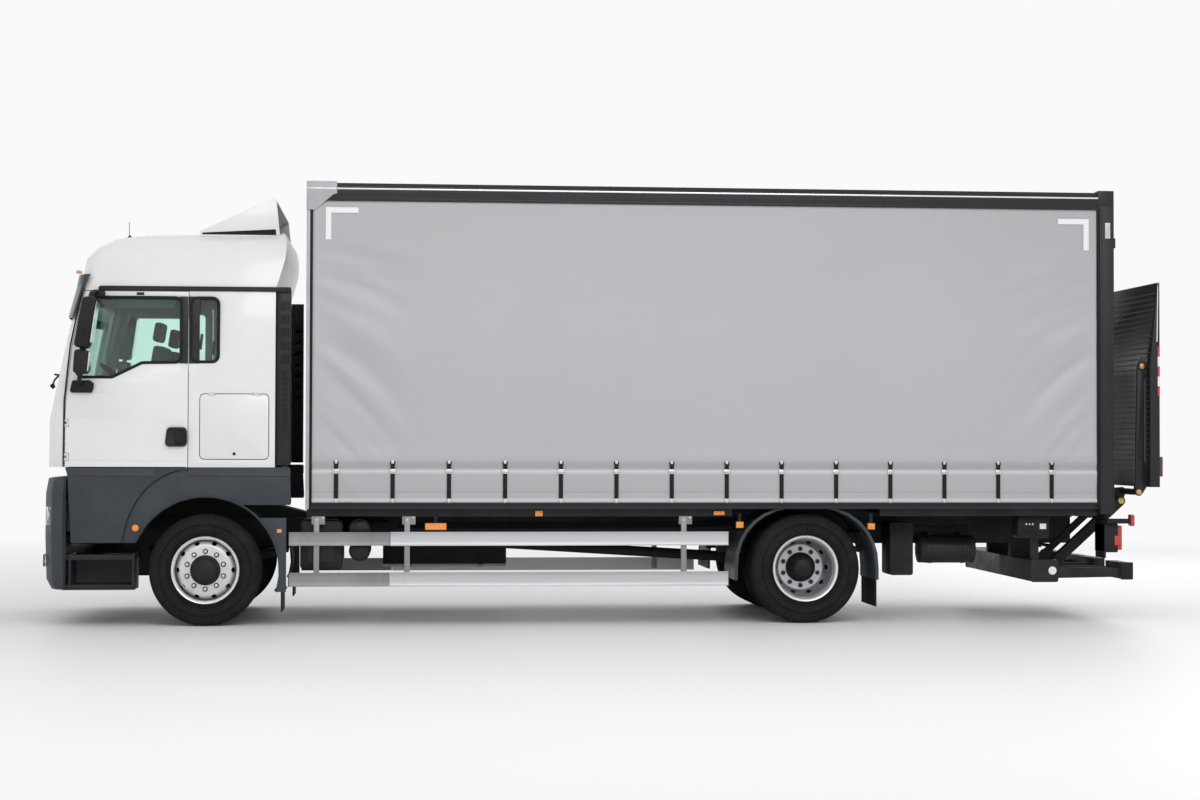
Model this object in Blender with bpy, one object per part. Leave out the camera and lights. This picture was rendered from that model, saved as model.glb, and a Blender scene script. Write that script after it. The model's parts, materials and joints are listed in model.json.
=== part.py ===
"""Curtainside truck: two axles, sleeper cab, curtained load space and a folding tail lift.

Metres, +Z up. The truck faces -X and its left side, where the driver sits, is at -Y.
Every x below is measured from the front axle and every z from the ground. One empty then
moves the whole truck along X, so that its origin lies on the ground at mid length.
A piece is described once, on the left, and the right one is its mirror image.
"""

import math

import bmesh
import bpy
from mathutils import Matrix, Vector

# Fits
SEAT_GAP = 0.0003        # between pieces that rest on each other
PANEL_GAP = 0.007        # round doors, lids and the flap
DOOR_SWING = 0.024       # between a door's inner edge and the cab floor
FLAT_ANGLE = 0.0005      # radians between faces that count as one flat face
PIN_PLAY = 0.0002        # between a pin's corners and the flats of its bore
HINGE_RADIUS = 0.007     # barrels of the small hinges on doors, lids and the flap
HINGE_PIN = 0.0035
HINGE_EAR = 0.018
HINGE_KNUCKLE = 0.024
HINGE_ROOM = 0.004
HINGE_WEB = (-0.018, -0.004)
HINGE_SIDES = 6

# Wheels
WHEELBASE = 5.40
WHEEL_SIDES = 20
TYRE_RADIUS = 0.501
TYRE_WIDTH = 0.300
TREAD_WIDTH = 0.236
BEAD_RADIUS = 0.2865
RIM_WALL = 0.014
FLANGE_RADIUS = 0.300
FLANGE_WALL = 0.009
BEAD_WIDTH = 0.225
FRONT_WHEEL_Y = 1.035
REAR_WHEEL_Y = 1.040
TWIN_SPACING = 0.345
HUB_HEIGHT = TYRE_RADIUS * math.cos(math.pi / WHEEL_SIDES)
SPINDLE_RADIUS = 0.045
HAND_HOLES = 10
HAND_HOLE_RADIUS = 0.017

# Chassis
RAIL_Y = 0.43
RAIL_LOW = 0.690
RAIL_TOP = 0.937
RAIL_FLANGE = 0.070
RAIL_WALL = 0.010
RAIL_FRONT = -1.15
RAIL_REAR = 8.10
KINGPIN_Y = 0.90
KINGPIN_RADIUS = 0.022

# Cab
CAB_LOW = 1.410
CAB_GUTTER = 3.000
CAB_WALL = 0.045
CAB_HALF_WIDTH = 1.200
FRONT_BOW = 0.050
DOOR_HINGE_X = -1.200
DOOR_REAR = -0.157
DOOR_TOP = 2.970
DOOR_LOW = 0.742
DOOR_HINGE_HEIGHTS = (1.50, 1.80)
GLASS = 0.006
GLASS_INSET = 0.012
ARCH_RADIUS = 0.650
BUMPER_FRONT = -1.490
BUMPER_REAR = -1.210
BUMPER_HALF_WIDTH = CAB_HALF_WIDTH + 0.020
BUMPER_WALL = 0.045
REAR_TRIM = 0.745

# Load space
BODY_FRONT = 0.887
BODY_REAR = 8.117
BODY_HALF_WIDTH = 1.275
DECK_LOW = 1.090
DECK_TOP = 1.120
DECK_STEP = 0.002        # the boards stand this much over the ledge that the bulkhead stands on
BULKHEAD_DEPTH = 0.050
RAVE_LOW = 0.974
CURTAIN_LOW = 1.100
CURTAIN_TOP = 3.790
CURTAIN_FRONT = 0.940
CURTAIN = 0.012
CURTAIN_Y = BODY_HALF_WIDTH - 0.007
ROOF_TOP = 3.942
FRAME_DEPTH = 0.131
FRAME_TOP = 3.962
POST_LOW = 0.993
POST_WIDTH = 0.115
SILL_LOW = 1.030
STRAPS = 14
STRAP_FIRST = 1.154
STRAP_PITCH = 0.5005

# Tail lift
LIFT_REAR = 8.720
ARM_BASE = (7.860, 0.520)
ARM_HEAD = (8.500, 1.100)
LINK_OFFSET = (-0.045, 0.075)
PLATFORM_HINGE = (8.550, 1.190)
PLATFORM_LOW = 1.238
PLATFORM_TIP = 3.133
PLATFORM_FACE = 8.630
PLATFORM_HALF_WIDTH = BODY_HALF_WIDTH - POST_WIDTH
ARM_Y = BODY_HALF_WIDTH - 0.595
ARM_WIDTH = 0.080
LINK_Y = ARM_Y - 0.155
LINK_WIDTH = 0.050
CHEEK_Y = ARM_Y - 0.085
CHEEK_WALL = 0.036
PIVOT_RADIUS = 0.020

SHIFT = -(BUMPER_FRONT + LIFT_REAR) / 2

SIDES = {"left": -1, "right": 1}

# Finishes: colour, roughness, metallic
FINISHES = {
    "white_paint": ((0.80, 0.81, 0.82), 0.25, 0.0),
    "grey_plastic": ((0.055, 0.062, 0.070), 0.50, 0.0),
    "black_plastic": ((0.015, 0.015, 0.017), 0.55, 0.0),
    "chassis_paint": ((0.020, 0.021, 0.023), 0.45, 0.3),
    "aluminium": ((0.62, 0.63, 0.64), 0.32, 1.0),
    "wheel_silver": ((0.60, 0.61, 0.62), 0.35, 0.9),
    "rubber": ((0.018, 0.018, 0.019), 0.80, 0.0),
    "curtain_fabric": ((0.46, 0.46, 0.47), 0.60, 0.0),
    "glass": ((0.16, 0.26, 0.24), 0.05, 0.0),
    "lamp": ((0.70, 0.72, 0.75), 0.10, 0.0),
    "red_lamp": ((0.45, 0.02, 0.02), 0.20, 0.0),
    "seat_cloth": ((0.07, 0.07, 0.08), 0.90, 0.0),
}


# Shapes: each function makes one closed mesh object
def finish_mesh(mesh_data):
    """Turns a bmesh into an object whose faces point out."""
    bmesh.ops.remove_doubles(mesh_data, verts=mesh_data.verts, dist=1e-6)
    bmesh.ops.recalc_face_normals(mesh_data, faces=mesh_data.faces)
    mesh = bpy.data.meshes.new("shape")
    mesh_data.to_mesh(mesh)
    mesh_data.free()
    shape = bpy.data.objects.new("shape", mesh)
    bpy.context.scene.collection.objects.link(shape)
    return shape


def loft(loops):
    """Skin over closed loops with as many points each, capped at both ends."""
    skin = bmesh.new()
    rings = [[skin.verts.new(point) for point in loop] for loop in loops]
    count = len(rings[0])
    for low, high in zip(rings, rings[1:]):
        for i in range(count):
            j = (i + 1) % count
            skin.faces.new((low[i], low[j], high[j], high[i]))
    skin.faces.new(rings[0])
    skin.faces.new(rings[-1])
    skin.normal_update()
    bmesh.ops.triangulate(skin, faces=skin.faces)
    return finish_mesh(skin)


def prism(outline, low, high, axis="y"):
    """An outline pushed along an axis: (x, z) along y, (y, z) along x, (x, y) along z."""
    place = {
        "x": lambda a, b, c: (c, a, b),
        "y": lambda a, b, c: (a, c, b),
        "z": lambda a, b, c: (a, b, c),
    }[axis]
    return loft([[place(a, b, c) for a, b in outline] for c in (low, high)])


def box(x, y, z):
    """A box from three (low, high) pairs."""
    outline = [(x[0], y[0]), (x[1], y[0]), (x[1], y[1]), (x[0], y[1])]
    return prism(outline, z[0], z[1], "z")


def turned(profile, centre, sides, axis="y"):
    """A closed (radius, along) profile turned about an axis, with a flat facet at the bottom."""
    wheel = bmesh.new()
    steps = [2 * math.pi * (i + 0.5) / sides for i in range(sides)]
    frame = {
        "x": lambda r, s, t: (s, r * math.sin(t), -r * math.cos(t)),
        "y": lambda r, s, t: (r * math.sin(t), s, -r * math.cos(t)),
        "z": lambda r, s, t: (r * math.sin(t), r * math.cos(t), s),
    }[axis]
    centre = Vector(centre)
    rings = [[wheel.verts.new(centre + Vector(frame(r, s, t))) for r, s in profile] for t in steps]
    count = len(profile)
    for i in range(sides):
        this, after = rings[i], rings[(i + 1) % sides]
        for j in range(count):
            k = (j + 1) % count
            on_axis = (profile[j][0] == 0, profile[k][0] == 0)
            if on_axis == (True, True):
                continue
            corners = [this[j], this[k], after[k], after[j]]
            if on_axis[0]:
                corners = [this[j], this[k], after[k]]
            elif on_axis[1]:
                corners = [this[j], this[k], after[j]]
            wheel.faces.new(corners)
    return finish_mesh(wheel)


def rod(centre, radius, low, high, axis="y", sides=12):
    """A round bar along one axis."""
    return turned([(0, low), (radius, low), (radius, high), (0, high)], centre, sides, axis)


def bore(radius, sides=12):
    """The radius of a bore whose flats clear a pin that turns in it."""
    return (radius + PIN_PLAY) / math.cos(math.pi / sides)


def strut(start, end, width, height):
    """A flat-sided bar between two (x, z) points, centred on a y given by the pair (low, high)."""
    (x0, z0), (x1, z1) = start, end
    length = math.hypot(x1 - x0, z1 - z0)
    across = Vector((-(z1 - z0), x1 - x0)) * (height / 2 / length)
    outline = [
        (x0 - across[0], z0 - across[1]),
        (x1 - across[0], z1 - across[1]),
        (x1 + across[0], z1 + across[1]),
        (x0 + across[0], z0 + across[1]),
    ]
    return prism(outline, width[0], width[1])


def arc(centre, radius, start, end, steps):
    """Points on an arc, angles in degrees from +X towards +Z."""
    points = []
    for i in range(steps + 1):
        angle = math.radians(start + (end - start) * i / steps)
        points.append((centre[0] + radius * math.cos(angle), centre[1] + radius * math.sin(angle)))
    return points


def swell(centre, half_length, height, power, start, end, steps):
    """Points on a squared-off ellipse, angles in degrees."""
    points = []
    for i in range(steps + 1):
        angle = math.radians(start + (end - start) * i / steps)
        c, s = math.cos(angle), math.sin(angle)
        x = centre[0] + half_length * math.copysign(abs(c) ** (2 / power), c)
        z = centre[1] + height * math.copysign(abs(s) ** (2 / power), s)
        points.append((x, z))
    return points


def grown(outline, margin):
    """An outline moved outwards by a margin, its corners mitred."""
    area = sum(a[0] * b[1] - b[0] * a[1] for a, b in zip(outline, outline[1:] + outline[:1]))
    turn = 1 if area > 0 else -1
    moved = []
    for i, point in enumerate(outline):
        before = Vector(point) - Vector(outline[i - 1])
        after = Vector(outline[(i + 1) % len(outline)]) - Vector(point)
        n1 = Vector((before.y, -before.x)).normalized() * turn
        n2 = Vector((after.y, -after.x)).normalized() * turn
        middle = n1 + n2
        step = middle * (2 * margin / middle.length_squared)
        moved.append((point[0] + step.x, point[1] + step.y))
    return moved


def rounded(outline, radius, steps=2):
    """An outline with its corners rounded; radius is one value or one for each corner."""
    radii = radius if isinstance(radius, (list, tuple)) else [radius] * len(outline)
    points = []
    for i, corner in enumerate(outline):
        if radii[i] == 0:
            points.append(corner)
            continue
        here = Vector(corner)
        to_last = (Vector(outline[i - 1]) - here).normalized()
        to_next = (Vector(outline[(i + 1) % len(outline)]) - here).normalized()
        half = to_last.angle(to_next) / 2
        reach = radii[i] / math.tan(half)
        middle = here + (to_last + to_next).normalized() * (radii[i] / math.sin(half))
        start = here + to_last * reach - middle
        sweep = start.angle_signed(here + to_next * reach - middle)
        for k in range(steps + 1):
            angle = -sweep * k / steps
            c, s = math.cos(angle), math.sin(angle)
            points.append((middle.x + start.x * c - start.y * s, middle.y + start.x * s + start.y * c))
    return points


# Joining and cutting
def drop(shape):
    mesh = shape.data
    bpy.data.objects.remove(shape)
    bpy.data.meshes.remove(mesh)


def gathered(shapes):
    """Several shapes in one mesh, as they are."""
    first = shapes[0]
    joined = bmesh.new()
    for shape in shapes:
        joined.from_mesh(shape.data)
    joined.to_mesh(first.data)
    joined.free()
    for shape in shapes[1:]:
        drop(shape)
    return first


def merge_flat_faces(mesh):
    """Takes out the edges and points that a Boolean leaves inside flat faces.

    A flat ring round a pin can fold on itself when its faces merge; such a mesh stays as it was.
    """
    flat = bmesh.new()
    flat.from_mesh(mesh)
    bmesh.ops.dissolve_limit(flat, angle_limit=FLAT_ANGLE, verts=flat.verts, edges=flat.edges)
    flat.normal_update()
    bmesh.ops.triangulate(flat, faces=flat.faces)
    if all(len(edge.link_faces) == 2 for edge in flat.edges):
        flat.to_mesh(mesh)
    flat.free()


def combine(target, tools, operation):
    tool = gathered(tools)
    step = target.modifiers.new("combine", "BOOLEAN")
    step.operation = operation
    step.solver = "EXACT"
    step.use_self = len(tools) > 1
    step.object = tool
    result = target.evaluated_get(bpy.context.evaluated_depsgraph_get())
    mesh = bpy.data.meshes.new_from_object(result)
    merge_flat_faces(mesh)
    target.modifiers.clear()
    old = target.data
    target.data = mesh
    bpy.data.meshes.remove(old)
    drop(tool)
    return target


def joined(first, *others):
    return combine(first, list(others), "UNION")


def cut(target, *tools):
    return combine(target, list(tools), "DIFFERENCE")


def common(target, tool):
    return combine(target, [tool], "INTERSECT")


def copied(shape):
    twin = shape.copy()
    twin.data = shape.data.copy()
    bpy.context.scene.collection.objects.link(twin)
    return twin


def mirrored(shape):
    """The mirror image of a left shape, for the right side."""
    twin = copied(shape)
    twin.data.transform(Matrix.Diagonal((1, -1, 1, 1)))
    twin.data.flip_normals()
    return twin


# Nodes and what they ride on
PIVOTS = {}
MATERIALS = {}


def make_materials():
    for name, (colour, roughness, metallic) in FINISHES.items():
        material = bpy.data.materials.new(name)
        material.use_nodes = True
        shader = material.node_tree.nodes["Principled BSDF"]
        shader.inputs["Base Color"].default_value = (*colour, 1)
        shader.inputs["Roughness"].default_value = roughness
        shader.inputs["Metallic"].default_value = metallic
        material.diffuse_color = (*colour, 1)
        MATERIALS[name] = material


def pivot(name, place, parent=None):
    """An empty on a joint's axis, in truck coordinates, that carries a moving body."""
    empty = bpy.data.objects.new(name + "_axis", None)
    bpy.context.scene.collection.objects.link(empty)
    if parent is None:
        empty.location = Vector(place) + (Vector((SHIFT, 0, 0)) if name == "truck" else Vector())
    else:
        empty.parent = PIVOTS[parent][0]
        empty.location = Vector(place) - PIVOTS[parent][1]
    PIVOTS[name] = (empty, Vector(place))


def node(name, shape, finish, carrier="truck"):
    """Names a finished shape, gives it its material and hangs it on its carrier."""
    empty, place = PIVOTS[carrier]
    shape.name = name
    shape.data.name = name
    shape.data.transform(Matrix.Translation(-place))
    shape.parent = empty
    shape.data.materials.clear()
    shape.data.materials.append(MATERIALS[finish])
    shape.data.shade_smooth()
    shape.data.set_sharp_from_angle(angle=math.radians(35))
    return shape


def both_sides(name, left, finish, carrier="truck"):
    """The left node and its mirror image on the right."""
    right = mirrored(left)
    carriers = (carrier, carrier) if carrier == "truck" else (carrier + "_left", carrier + "_right")
    node(name + "_left", left, finish, carriers[0])
    node(name + "_right", right, finish, carriers[1])


# Small hinges
def barrel_hinge(place, leaf_way, outward, body_reach):
    """A hinge on a panel's outer face: two ears and a pin that stay, and a knuckle on the leaf.

    Gives the staying shapes, the leaf's shapes, and the pockets that the body and the leaf need.
    """
    leaf_way, outward = Vector(leaf_way), Vector(outward)
    rotation = Matrix((leaf_way, outward, leaf_way.cross(outward))).transposed().to_4x4()
    half = HINGE_KNUCKLE / 2
    near, far = half + SEAT_GAP, half + SEAT_GAP + HINGE_EAR
    room = HINGE_RADIUS + HINGE_ROOM
    reach = (-far - HINGE_ROOM, far + HINGE_ROOM)
    depth = (HINGE_WEB[0] - 0.002, room)
    profile = [(0, -far), (HINGE_RADIUS, -far), (HINGE_RADIUS, -near), (HINGE_PIN, -near)]
    profile += [(r, -s) for r, s in reversed(profile)]
    stays = [turned(profile, (0, 0, 0), HINGE_SIDES, "z")]
    for low, high in ((-far, -near), (near, far)):
        stays.append(box((-body_reach, 0), HINGE_WEB, (low, high)))
    knuckle = joined(rod((0, 0, 0), HINGE_RADIUS, -half, half, "z", HINGE_SIDES),
                     box((0, room + 0.008), HINGE_WEB, (-half, half)))
    moves = [cut(knuckle, rod((0, 0, 0), bore(HINGE_PIN, HINGE_SIDES), -far, far, "z", HINGE_SIDES))]
    body_pocket = box((-room, room), depth, reach)
    leaf_pocket = box((-body_reach, room), depth, reach)
    for shape in stays + moves + [body_pocket, leaf_pocket]:
        shape.data.transform(Matrix.Translation(place) @ rotation)
    return stays, moves, body_pocket, leaf_pocket


def door_hinges():
    """Where the left door's hinges sit, as arguments of barrel_hinge."""
    y = -(CAB_HALF_WIDTH - 0.002)
    return [((DOOR_HINGE_X, y, z), (1, 0, 0), (0, -1, 0), 0.036) for z in DOOR_HINGE_HEIGHTS]


def hatch_hinges():
    x0, x1, z = HATCH[0][0], HATCH[1][0], HATCH[2][1]
    return [((x, -CAB_HALF_WIDTH, z), (0, 0, -1), (0, -1, 0), 0.020) for x in (x0 + 0.10, x1 - 0.10)]


def flap_hinges():
    x = section_at(CAB_SECTIONS, FLAP_TOP)[1]
    return [((x, y, FLAP_TOP), (0, 0, -1), (-1, 0, 0), 0.020) for y in (-0.25, 0.25)]


def hung(leaf, places):
    """A leaf with its pockets cut and its knuckles added."""
    for place in places:
        stays, moves, body_pocket, leaf_pocket = barrel_hinge(*place)
        leaf = joined(cut(leaf, leaf_pocket), *moves)
        for spare in stays + [body_pocket]:
            drop(spare)
    return leaf


# Wheels and axles
def tyre(centre_y):
    """A tyre as a solid ring between its beads and its tread."""
    seat = BEAD_RADIUS + SEAT_GAP
    bead, tread, wall = BEAD_WIDTH / 2 - SEAT_GAP, TREAD_WIDTH / 2, TYRE_WIDTH / 2
    side = [(seat, bead), (FLANGE_RADIUS + 0.004, bead), (0.410, wall), (TYRE_RADIUS, tread)]
    profile = side + [(r, -s) for r, s in reversed(side)]
    return turned(profile, (0, centre_y, HUB_HEIGHT), WHEEL_SIDES)


def barrel(middle):
    """The outer line of a rim from its inboard to its outboard flange, as (radius, along)."""
    half = BEAD_WIDTH / 2
    return [
        (FLANGE_RADIUS, middle - half - FLANGE_WALL),
        (FLANGE_RADIUS, middle - half),
        (BEAD_RADIUS, middle - half),
        (BEAD_RADIUS, middle + half),
        (FLANGE_RADIUS, middle + half),
        (FLANGE_RADIUS, middle + half + FLANGE_WALL),
    ]


def hand_holes(rim, x, centre_y, radius, low, high):
    """Round windows through the cone of a wheel disc."""
    cutters = []
    for i in range(HAND_HOLES):
        angle = 2 * math.pi * i / HAND_HOLES
        place = (x + radius * math.sin(angle), centre_y, HUB_HEIGHT + radius * math.cos(angle))
        cutters.append(rod(place, HAND_HOLE_RADIUS, low, high, sides=6))
    return cut(rim, *cutters)


def front_rim():
    """Steel rim with its disc bulging outwards, and the hub in one with it. Left side: out is -Y."""
    inner = BEAD_RADIUS - RIM_WALL
    edge = BEAD_WIDTH / 2 + FLANGE_WALL
    socket = bore(SPINDLE_RADIUS, WHEEL_SIDES)
    outside = barrel(0)
    front = [(inner, edge), (inner, 0.062), (0.226, 0.100), (0.142, 0.100)]
    hub = [(0.112, 0.150), (0, 0.158), (0, 0.106), (socket, 0.106), (socket, -0.012), (0.110, -0.012)]
    back = [(0.120, 0.078), (0.222, 0.080), (inner, 0.030), (inner, -edge)]
    profile = [(r, -s) for r, s in outside + front + hub + back]
    centre_y = -FRONT_WHEEL_Y
    rim = turned(profile, (0, centre_y, HUB_HEIGHT), WHEEL_SIDES)
    return hand_holes(rim, 0, centre_y, 0.255, -0.115, -0.030)


def twin_rims():
    """Two deep rims bolted back to back on one hub, about the plane between the twins."""
    inner = BEAD_RADIUS - RIM_WALL
    half = TWIN_SPACING / 2
    edge = half + BEAD_WIDTH / 2 + FLANGE_WALL
    socket = bore(SPINDLE_RADIUS, WHEEL_SIDES)
    dish = [(inner, edge), (inner, 0.110), (0.226, 0.016)]
    near = [(0.238, 0.0)] + barrel(half) + dish
    hub = [(0.136, 0.016), (0.112, 0.165), (0, 0.172), (0, 0.120), (socket, 0.120), (socket, -0.120)]
    far = [(0.120, -0.120), (0.130, -0.016), (0.226, -0.016), (inner, -0.110), (inner, -edge)]
    far += [(r, -s) for r, s in reversed(barrel(half))]
    profile = [(r, -s) for r, s in near + hub + far]
    centre_y = -(REAR_WHEEL_Y - half)
    rims = turned(profile, (WHEELBASE, centre_y, HUB_HEIGHT), WHEEL_SIDES)
    return hand_holes(rims, WHEELBASE, centre_y, 0.246, -0.120, -0.020)


def leaf_spring(x, low, length, rise):
    """A bowed pack of leaves under the left rail."""
    half = length / 2
    leaf = 0.055
    line = [(-half, rise), (-half * 0.55, rise * 0.32), (0, 0), (half * 0.55, rise * 0.32), (half, rise)]
    outline = [(x + a, low + b) for a, b in line] + [(x + a, low + leaf + b) for a, b in reversed(line)]
    return prism(outline, -RAIL_Y - 0.005, -RAIL_Y + 0.065)


def spring_hanger(x, low):
    """A bracket under the rail that holds one end of a spring."""
    y = (-RAIL_Y + 0.002, -RAIL_Y + 0.058)
    outline = [(x - 0.05, RAIL_LOW - SEAT_GAP), (x - 0.025, low), (x + 0.025, low), (x + 0.05, RAIL_LOW - SEAT_GAP)]
    return prism(outline, *y)


FRONT_SPRING = {"low": HUB_HEIGHT + 0.010, "length": 1.30, "rise": 0.085}
REAR_SPRING = {"low": HUB_HEIGHT + 0.070, "length": 1.40, "rise": 0.050}
BEAM_HALF = 0.050
BEAM_DROP = 0.050
BOSS_RADIUS = 0.044
BOSS_HALF = 0.070
AXLE_TUBE_RADIUS = 0.085


def springs(x, size):
    shapes = []
    spring = leaf_spring(x, size["low"], size["length"], size["rise"])
    end = size["length"] / 2 - 0.03
    hangers = [spring_hanger(x + s * end, size["low"] + size["rise"] * 0.8) for s in (-1, 1)]
    for shape in [spring] + hangers:
        shapes.append(shape)
        shapes.append(mirrored(shape))
    return shapes


def front_axle():
    """A dropped beam with a boss and kingpin at each end, and its leaf springs."""
    beam = [
        (-KINGPIN_Y + 0.03, HUB_HEIGHT - 0.045), (-KINGPIN_Y + 0.03, HUB_HEIGHT + 0.045),
        (-0.62, HUB_HEIGHT + 0.012), (0.62, HUB_HEIGHT + 0.012),
        (KINGPIN_Y - 0.03, HUB_HEIGHT + 0.045), (KINGPIN_Y - 0.03, HUB_HEIGHT - 0.045),
        (0.58, HUB_HEIGHT - 2 * BEAM_DROP), (-0.58, HUB_HEIGHT - 2 * BEAM_DROP),
    ]
    shapes = springs(0, FRONT_SPRING)
    for side in (-1, 1):
        place = (0, side * KINGPIN_Y, HUB_HEIGHT)
        shapes.append(rod(place, BOSS_RADIUS, -BOSS_HALF, BOSS_HALF, "z"))
        shapes.append(rod(place, KINGPIN_RADIUS, -0.118, 0.118, "z"))
    return joined(prism(beam, -BEAM_HALF, BEAM_HALF, "x"), *shapes)


def knuckle():
    """The fork that turns on the kingpin and the spindle that the wheel runs on."""
    y = -KINGPIN_Y
    lug = BOSS_HALF + 0.003
    web = (-1.010, y - BOSS_RADIUS - 0.006)
    shapes = []
    for side in (-1, 1):
        low, high = sorted((HUB_HEIGHT + side * lug, HUB_HEIGHT + side * (lug + 0.034)))
        shapes.append(box((-0.045, 0.045), (web[0] + 0.004, y + 0.045), (low, high)))
    spindle = rod((0, -FRONT_WHEEL_Y, HUB_HEIGHT), SPINDLE_RADIUS, -0.100, 0.080)
    arm = box((0.030, 0.190), (web[0] + 0.006, web[1] - 0.004), (HUB_HEIGHT - 0.10, HUB_HEIGHT - 0.070))
    fork = joined(box((-0.055, 0.055), web, (HUB_HEIGHT - 0.105, HUB_HEIGHT + 0.105)), spindle, arm, *shapes)
    return cut(fork, rod((0, y, HUB_HEIGHT), bore(KINGPIN_RADIUS), -0.13, 0.13, "z"))


def rear_axle():
    """A live axle: housing, final drive, spindles and its leaf springs."""
    middle = (WHEELBASE, 0, HUB_HEIGHT)
    end = REAR_WHEEL_Y - TWIN_SPACING / 2
    tube = end - 0.126
    half = [(SPINDLE_RADIUS, end + 0.115), (SPINDLE_RADIUS, tube), (AXLE_TUBE_RADIUS, tube)]
    axle = [(0, end + 0.115)] + half + [(r, -s) for r, s in reversed(half)] + [(0, -end - 0.115)]
    drive = turned([(0, -0.16), (0.13, -0.14), (0.205, -0.05), (0.205, 0.05), (0.13, 0.14), (0, 0.16)],
                   middle, 12)
    return joined(turned(axle, middle, WHEEL_SIDES), drive, *springs(WHEELBASE, REAR_SPRING))


# Chassis
CROSS_BARS = (-1.08, 1.12, 2.05, 3.00, 3.95, 4.72, 6.08, 7.00, 7.42, 8.04)


def ladder_frame():
    """Two C-section rails and the bars between them."""
    inner = RAIL_Y - RAIL_FLANGE
    web = RAIL_Y - RAIL_WALL
    rail = [
        (-RAIL_Y, RAIL_LOW), (-inner, RAIL_LOW), (-inner, RAIL_LOW + RAIL_WALL), (-web, RAIL_LOW + RAIL_WALL),
        (-web, RAIL_TOP - RAIL_WALL), (-inner, RAIL_TOP - RAIL_WALL), (-inner, RAIL_TOP), (-RAIL_Y, RAIL_TOP),
    ]
    left = prism(rail, RAIL_FRONT, RAIL_REAR, "x")
    reach = web + RAIL_WALL / 2
    bars = [box((x - 0.03, x + 0.03), (-reach, reach), (RAIL_TOP - 0.085, RAIL_TOP - 0.012)) for x in CROSS_BARS]
    return joined(left, mirrored(left), *bars, *rear_equipment())


def driveline():
    """Engine and gearbox as plain blocks, and the propeller shaft to the rear axle."""
    engine = [(-0.88, 0.78), (-0.80, 0.66), (0.20, 0.64), (0.30, 0.72), (0.30, 1.16), (0.10, 1.30), (-0.88, 1.30)]
    gearbox = [(0.28, 0.66), (0.95, 0.70), (1.02, 0.78), (1.02, 0.93), (0.60, 1.04), (0.28, 1.10)]
    start, end = (1.00, 0.78), (WHEELBASE - 0.215, HUB_HEIGHT + 0.03)
    drop_angle = math.atan2(end[1] - start[1], end[0] - start[0])
    length = math.hypot(end[0] - start[0], end[1] - start[1])
    shaft = rod((0, 0, 0), 0.050, 0, length, "x", 10)
    shaft.data.transform(Matrix.Translation((start[0], 0, start[1])) @ Matrix.Rotation(-drop_angle, 4, "Y"))
    mounts = []
    for x in (-0.60, 0.12):
        mounts.append(box((x - 0.05, x + 0.05), (-RAIL_Y + RAIL_FLANGE - 0.02, RAIL_Y - RAIL_FLANGE + 0.02),
                          (RAIL_TOP + SEAT_GAP, RAIL_TOP + 0.05)))
    return joined(prism(engine, -0.33, 0.33), prism(gearbox, -0.20, 0.20), shaft, *mounts)


def fuel_tank():
    """A rounded tank on the right rail, with two straps and their brackets."""
    y = (RAIL_Y + 0.10, 1.12)
    shell = rounded([(y[0], 0.42), (y[1], 0.42), (y[1], 0.95), (y[0], 0.95)], 0.10)
    tank = prism(shell, 1.55, 2.75, "x")
    straps = []
    for x in (1.80, 2.50):
        straps.append(prism(grown(shell, 0.008), x - 0.03, x + 0.03, "x"))
        straps.append(box((x - 0.03, x + 0.03), (RAIL_Y + SEAT_GAP, y[0] + 0.02), (0.70, 0.92)))
    return joined(tank, *straps)


def battery_and_air():
    """On the left rail: battery box, two air tanks side by side and the carrier that holds them."""
    carrier = box((0.86, 1.62), (-RAIL_Y - 0.060, -RAIL_Y - SEAT_GAP), (0.72, 0.90))
    case = rounded([(0.84, 0.50), (1.20, 0.50), (1.20, 0.93), (0.84, 0.93)], 0.03)
    battery = prism(case, -1.10, -RAIL_Y - 0.05)
    lid = prism(grown(case, 0.010), -1.06, -0.56)
    tanks = []
    for x, z in ((1.36, 0.66), (1.36, 0.86)):
        tanks.append(rod((x, 0, z), 0.095, -1.06, -RAIL_Y - 0.05, "y", 12))
    shelf = box((1.20 - 0.02, 1.52), (-0.95, -0.60), (0.74, 0.78))
    return joined(carrier, battery, lid, shelf, *tanks)


def rear_equipment():
    """Behind the rear axle on the left rail: the lift's power pack and an air tank on one bracket."""
    bracket = box((6.26, 7.10), (-RAIL_Y - 0.040, -RAIL_Y + RAIL_WALL / 2), (0.74, 0.85))
    pack = prism(rounded([(6.263, 0.41), (6.481, 0.41), (6.481, 0.90), (6.263, 0.90)], 0.02), -0.80, -RAIL_Y - 0.03)
    tank = rod((0, -0.62, 0.645), 0.130, 6.573, 7.094, "x", 14)
    hooks = [box((x - 0.02, x + 0.02), (-0.64, -RAIL_Y - 0.03), (0.755, 0.80)) for x in (6.68, 6.99)]
    return [bracket, pack, tank] + hooks


GUARD_Y = 1.205
GUARD_WALL = 0.025
GUARD_PLANKS = ((0.711, 0.835), (0.347, 0.475))
GUARD_ENDS = (0.732, 4.689)
GUARD_JOINT = 1.632
GUARD_POSTS = (0.98, 1.785, 4.280)


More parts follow.
